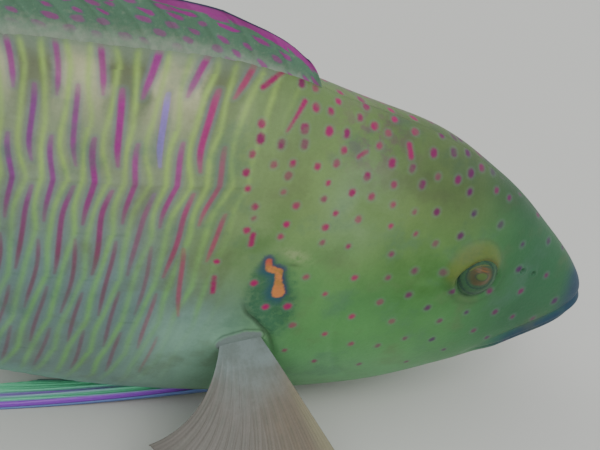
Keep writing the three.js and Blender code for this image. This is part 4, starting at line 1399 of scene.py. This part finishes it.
def pectoral_fin(name, form, side):
    """A pectoral fin, fanned out and bent down onto the floor."""
    length = through(PECTORAL["length"])
    front, rear = flank_at(*PECTORAL["front"], side), flank_at(*PECTORAL["rear"], side)

    def middle(ray, out):
        share = ray / (PECTORAL["rays"] - 1)
        dip = np.radians(mix(PECTORAL["dip"], share))
        ends = mix(PECTORAL["foot_sweep"], share), mix(PECTORAL["sweep"], share)
        sweep = np.radians(mix(ends, out ** PECTORAL["bend"]))
        rim = 1 - (1 - PECTORAL["notch"]) * between_rays(ray)
        reach = (length(ray) * LENGTH * rim + PECTORAL["sink"]) * out - PECTORAL["sink"]
        foot = mix((front, rear), share[..., None])
        x = foot[..., 0] + reach * np.cos(dip) * np.sin(sweep)
        y = foot[..., 1] + side * reach * np.cos(dip) * np.cos(sweep)
        z = foot[..., 2] - reach * np.sin(dip) * (1 - PECTORAL["curl"] * out)
        return rest_on_floor(np.stack([x, y, z], -1))

    def half(ray, out):
        ridge = ray_ridges(ray, out, 0, 1.4 + 5.2 * out, 1.3) * smooth(0.08, 0.45, out)
        return (form.membrane + form.ray_rise * 0.4 * ridge) * (1 - 0.5 * out) + 0.9 * (1 - out) ** 4

    return fin_mesh(name, middle, half, PECTORAL["rays"], 22)


def pelvic_fin(name, form, side):
    """A pelvic fin, which lies flat on the floor and trails behind the breast."""
    length = through(PELVIC["length"])

    def middle(ray, out):
        share = ray / (PELVIC["rays"] - 1)
        sweep = np.radians(mix(PELVIC["sweep"], share))
        rim = 1 - (1 - PELVIC["notch"]) * between_rays(ray)
        reach = (length(ray) * LENGTH * rim + PELVIC["sink"]) * out - PELVIC["sink"]
        x = -mix(PELVIC["station"], share) * LENGTH - reach * np.cos(sweep)
        y = side * (mix(PELVIC["start"], share) + reach * np.sin(sweep))
        z = floor_at(x) + FIN_LIFT + PELVIC["arch"] * (1 - out) ** 2
        return np.stack([x, y, z], -1)

    def half(ray, out):
        ridge = ray_ridges(ray, out, 0, 2.2 + 1.2 * out, 0.8)
        return (form.membrane + form.ray_rise * 0.8 * ridge) * (1 - 0.4 * out) + 0.6 * (1 - out) ** 4

    return fin_mesh(name, middle, half, PELVIC["rays"], 26)


def fin_material(name, tones, paint):
    """A membrane. Paint gives its colour and height from the ray, the share out and the distance in."""
    shader = Shader(name)
    ray, out, inward = shader.vertex("fin")
    place = shader.join(*shader.vertex("spot"))
    base, height = paint(shader, tones, ray=ray, out=out, inward=inward, place=place)
    fine = shader.noise(place, 1.1, 4, 0.6)
    base = shader.shade(base, 0.88 + fine * 0.24)
    return shader.finish(base, 0.42, height + fine * 0.08, coat_weight=0.15, coat_roughness=0.25)


def on_ray(ray):
    """1 on a ray and 0 midway between two."""
    return 1 - abs(ray - round(ray)) * 2


def dashes(shader, tones, base, ray, out, inward, spacing, torn):
    """Rows of marks across a fin's rays, long next to the outer band, small and dim near the foot."""
    row_gap, column_gap = 4.6, 7.6
    row = (inward + (ray * 1.3).wave() * 0.8) / row_gap - 0.55
    row_id = round(row)
    column = ray * spacing / column_gap + row_id * 0.41
    column_id = round(column)
    first, second, third = shader.chance(shader.join(row_id, column_id, spacing))
    x = (column - column_id) * column_gap + (first - 0.5) * 3.4
    y = (row - row_id) * row_gap + (second - 0.5) * 2.2 + (third - 0.5) * x * 0.5
    longer = third * third * 3.4 * inward.step(13, 9) + first * second * 0.8
    past_end = (abs(x) - longer).most(0)
    inside = (first * 0.45 + 1.15).stir(torn, 1.8) - (past_end * past_end + y * y) ** 0.5
    shown = (first + second).above(0.3) * inward.above(4.6) * inward.step(28, 22) * out.above(0.12)
    shown = shown * (1 - (ray - 16.2).above(0) * (third * 1.6).least(1))
    shown = shown * (0.65 + third * 0.35) * (1 - inward.step(10, 20) * 0.3)
    return shader.layers(
        base,
        (inside.step(-1.1, 0.1) * shown * 0.3, tones.dorsal_rear),
        (inside.step(-0.45, 0.5) * shown, tones.mark),
    )


def paint_dorsal(shader, tones, ray, out, inward, place):
    """Green with rows of magenta marks and a dark-edged magenta band, and blue to the rear."""
    streaks = shader.noise(shader.join(ray * 2.2 + out * 3, inward * 0.05, 0.0), 1.4, 3)
    torn = shader.noise(place, 0.4, 4, 0.6)
    base = shader.layers(
        tones.dorsal_foot,
        (out.stir(torn, 0.5).step(0.08, 0.5), tones.dorsal),
        (ray.step(8.5, 14), tones.dorsal_rear),
        (torn.step(0.55, 0.75) * 0.35 * ray.step(12, 8), tones.dorsal_foot),
    )
    base = shader.shade(base, 0.74 + streaks * 0.3 + torn * 0.22)
    base = dashes(shader, tones, base, ray, out, inward, 10.5, torn)
    band = inward - ray.step(7, 3) * 1.8
    base = shader.layers(
        base,
        (band.stir(torn, 1.6).step(4.9, 3.7) * 0.92, tones.mark),
        (inward.stir(torn, 1.2).step(3.0, 0.9) * 0.3, tones.edge),
        (inward.stir(torn, 0.8).step(1.6, 0.9), tones.edge),
    )
    return base, on_ray(ray).step(0.6, 0.95) * 0.1


def paint_anal(shader, tones, ray, out, inward, place):
    """Like the dorsal fin, and blue towards its edge."""
    torn = shader.noise(place, 0.4, 4, 0.6)
    base = shader.blend(out.step(0.15, 0.6), tones.dorsal, tones.dorsal_rear)
    base = shader.shade(base, 0.85 + torn * 0.3)
    base = dashes(shader, tones, base, ray, out, inward, 9.0, torn)
    base = shader.layers(
        base,
        (inward.stir(torn, 1.2).step(4.4, 3.5) * 0.9, tones.mark),
        (inward.stir(torn, 0.6).step(1.5, 0.8), tones.edge),
    )
    return base, on_ray(ray).step(0.55, 0.95) * 0.15


def paint_tail(shader, tones, ray, out, place, **_):
    """Dark blue with paler rays and fringe."""
    cloud = shader.noise(place, 0.05, 3)
    streak = on_ray(ray).step(0.5, 0.95)
    base = shader.layers(
        tones.dorsal_rear,
        (out.step(0.1, 0.5).stir(cloud, 0.5), tones.tail),
        (streak * 0.5 * out.step(0.05, 0.3), tones.fringe),
        (out.step(0.86, 1.1) * 0.75, tones.fringe),
    )
    return base, streak * 0.12


def paint_pectoral(shader, tones, ray, out, place, **_):
    """Bluish grey at the foot, then tan in front and grey behind, with fine rays."""
    cloud = shader.noise(place, 0.16, 4, 0.6)
    streak = on_ray(ray).step(0.1, 0.95) * out.step(0.14, 0.5)
    fine = on_ray(ray * 4).step(0.1, 0.9) * out.step(0.25, 0.65)
    web = on_ray(ray + 0.5).step(0.35, 0.9) * out.step(0.14, 0.34) * out.step(0.8, 0.5)
    base = shader.layers(
        tones.pectoral_foot,
        (out.stir(cloud, 0.3).step(0.12, 0.5), tones.pectoral),
        (cloud.step(0.42, 0.62) * out.step(0.4, 0.15) * 0.3, tones.pectoral_web),
        (ray.step(7, 2) * out.step(0.15, 0.5) * 0.55, tones.pectoral_front),
        (streak * 0.3, tones.pectoral_ray),
        (web * cloud.step(0.3, 0.6) * 0.34, tones.pectoral_web),
        (ray.step(1.6, 0.2) * out.step(0.2, 0.7) * 0.6, tones.pectoral_lead),
    )
    base = shader.shade(base, 1.08 - fine * 0.08 - cloud * 0.16)
    return base, streak * 0.06 + fine * 0.05


def paint_pelvic(shader, tones, ray, out, **_):
    """Green with two violet bands and a blue front edge."""
    inner = (ray - 2.6 + out * 0.9).bell(0.42)
    base = shader.layers(
        tones.pelvic,
        (ray.step(1.15, 0.8), tones.pelvic_mark),
        (inner * out.step(0.2, 0.4) * 0.85, tones.pelvic_mark),
        (ray.step(4.3, 4.8) * 0.8, tones.edge),
        (ray.step(0.22, 0.05), tones.pelvic_edge),
    )
    return base, on_ray(ray).step(0.4, 0.95) * 0.12


class WRASSE_OT_skin(bpy.types.Operator):
    """Lay one skin over the trunk, head and lips"""
    bl_idname = "wrasse.skin"
    bl_label = "Skin"

    def execute(self, context):
        scene = context.scene
        skin = skin_mesh(scene.wrasse_form)
        dress(skin, skin_material(scene.wrasse_skin, scene.wrasse_form), "flank_skin", *FLESH)
        return {"FINISHED"}


class WRASSE_OT_eyes(bpy.types.Operator):
    """Set both eyes in their sockets"""
    bl_idname = "wrasse.eyes"
    bl_label = "Eyes"

    def execute(self, context):
        scene = context.scene
        material = eye_material(scene.wrasse_eye)
        for name, side in SIDES:
            dress(eye_mesh("eyeball_" + name, side), material, "eye", "eye_" + name)
        return {"FINISHED"}


class WRASSE_OT_midline_fins(bpy.types.Operator):
    """Raise the dorsal fin and the anal fin"""
    bl_idname = "wrasse.midline_fins"
    bl_label = "Dorsal and anal fins"

    def execute(self, context):
        scene = context.scene
        form, tones = scene.wrasse_form, scene.wrasse_fins
        dorsal = midline_fin("dorsal_fin", form, DORSAL, 1)
        dress(dorsal, fin_material("dorsal_membrane", tones, paint_dorsal), "median_fin",
              "dorsal_fin_front", "dorsal_fin_rear")
        anal = midline_fin("anal_fin_dressed", form, ANAL, -1)
        dress(anal, fin_material("anal_membrane", tones, paint_anal), "median_fin", "anal_fin")
        return {"FINISHED"}


class WRASSE_OT_tail(bpy.types.Operator):
    """Spread the tail fin and its fringe"""
    bl_idname = "wrasse.tail"
    bl_label = "Tail fin"

    def execute(self, context):
        scene = context.scene
        form = scene.wrasse_form
        material = fin_material("tail_membrane", scene.wrasse_fins, paint_tail)
        dress(tail_fin(form), material, "median_fin", "tail_fin")
        dress(tail_fringe(form), material, "median_fin")
        return {"FINISHED"}


class WRASSE_OT_paired_fins(bpy.types.Operator):
    """Lay the pectoral and pelvic fins on the floor"""
    bl_idname = "wrasse.paired_fins"
    bl_label = "Paired fins"

    def execute(self, context):
        scene = context.scene
        form, tones = scene.wrasse_form, scene.wrasse_fins
        pectoral = fin_material("pectoral_membrane", tones, paint_pectoral)
        pelvic = fin_material("pelvic_membrane", tones, paint_pelvic)
        for name, side in SIDES:
            fan = pectoral_fin("pectoral_" + name, form, side)
            dress(fan, pectoral, "pectoral_fin", "pectoral_fin_" + name)
            blade = pelvic_fin("pelvic_" + name, form, side)
            dress(blade, pelvic, "pelvic_fin", "pelvic_fin_" + name)
        return {"FINISHED"}


class WRASSE_OT_stage(bpy.types.Operator):
    """Set the floor, the lights and the camera"""
    bl_idname = "wrasse.stage"
    bl_label = "Stage"

    def execute(self, context):
        scene = context.scene
        stage = scene.wrasse_stage
        corners = [(x * FLOOR_REACH, y * FLOOR_REACH, 0) for x, y in ((-1, -1), (1, -1), (1, 1), (-1, 1))]
        floor = build_mesh("floor", corners, [(0, 1, 2, 3)])
        shader = Shader("pale_floor")
        cloud = shader.noise(shader.add("TexCoord").outputs["Object"], 9.0, 5)
        base = shader.shade(stage.floor, 0.97 + cloud * 0.06)
        floor.data.materials.append(shader.finish(base, 0.85))
        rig.stage(floor)
        for name, size, place in LAMPS:
            data = bpy.data.lights.new(name, "AREA")
            data.energy, data.size = getattr(stage, name), size
            lamp = bpy.data.objects.new(name, data)
            lamp.location = place
            lamp.rotation_euler = (-Vector(place)).to_track_quat("-Z", "Y").to_euler()
            scene.collection.objects.link(lamp)
        world = bpy.data.worlds.new("soft_sky")
        world.use_nodes = True
        sky = world.node_tree.nodes["Background"]
        sky.inputs["Color"].default_value = SKY_COLOUR
        sky.inputs["Strength"].default_value = stage.sky
        scene.world = world
        self.aim(scene, stage)
        return {"FINISHED"}

    def aim(self, scene, stage):
        """Points the camera along the photograph's view."""
        azimuth, elevation, roll = map(math.radians, (stage.azimuth, stage.elevation, stage.roll))
        flat = Vector((math.sin(azimuth), -math.cos(azimuth), 0)) * math.cos(elevation)
        behind = flat + Vector((0, 0, math.sin(elevation)))
        level = (-behind).cross(Vector((0, 0, 1))).normalized()
        upright = level.cross(-behind)
        right = level * math.cos(roll) + upright * math.sin(roll)
        up = upright * math.cos(roll) - level * math.sin(roll)
        data = bpy.data.cameras.new("view")
        data.lens = stage.lens
        data.sensor_width = SENSOR
        data.clip_start, data.clip_end = CLIP
        camera = bpy.data.objects.new("view", data)
        place = Vector((stage.ahead, 0, stage.above)) + behind * stage.away
        axes = Matrix((right, up, behind)).transposed().to_4x4()
        camera.matrix_world = Matrix.Translation(place * MM) @ axes
        scene.collection.objects.link(camera)
        scene.camera = camera


PIECES = (
    WRASSE_OT_skin, WRASSE_OT_eyes, WRASSE_OT_midline_fins, WRASSE_OT_tail, WRASSE_OT_paired_fins,
    WRASSE_OT_stage,
)
GROUPS = {
    "wrasse_form": WrasseForm, "wrasse_skin": WrasseSkinColours, "wrasse_eye": WrasseEyeColours,
    "wrasse_fins": WrasseFinColours, "wrasse_stage": WrasseStage,
}


class WRASSE_PT_panel(bpy.types.Panel):
    """The pieces of the fish, in the order they are made"""
    bl_idname = "WRASSE_PT_panel"
    bl_label = "Wrasse"
    bl_space_type = "VIEW_3D"
    bl_region_type = "UI"
    bl_category = "Wrasse"

    def draw(self, context):
        for piece in PIECES:
            self.layout.operator(piece.bl_idname)
        for key, group in GROUPS.items():
            box = self.layout.box()
            for field in group.__annotations__:
                box.prop(getattr(context.scene, key), field)


def register():
    """Adds the properties, the operators and the panel."""
    for group in (*GROUPS.values(), *PIECES, WRASSE_PT_panel):
        bpy.utils.register_class(group)
    for key, group in GROUPS.items():
        setattr(bpy.types.Scene, key, PointerProperty(type=group))


def unregister():
    """Takes away all that register adds."""
    for key in GROUPS:
        delattr(bpy.types.Scene, key)
    for group in (WRASSE_PT_panel, *reversed(PIECES), *GROUPS.values()):
        bpy.utils.unregister_class(group)


def main():
    """Makes every piece, and notes the sizes of the solids and of the dressed model."""
    register()
    for piece in PIECES:
        family, call = piece.bl_idname.split(".")
        getattr(getattr(bpy.ops, family), call)()
    sizes = {"cad": [list(map(float, corner)) for corner in CAD_BOX],
             "visual": [list(map(float, corner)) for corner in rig.bounds()]}
    with open("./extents.json", "w") as out:
        json.dump(sizes, out)


if __name__ == "__main__":
    main()
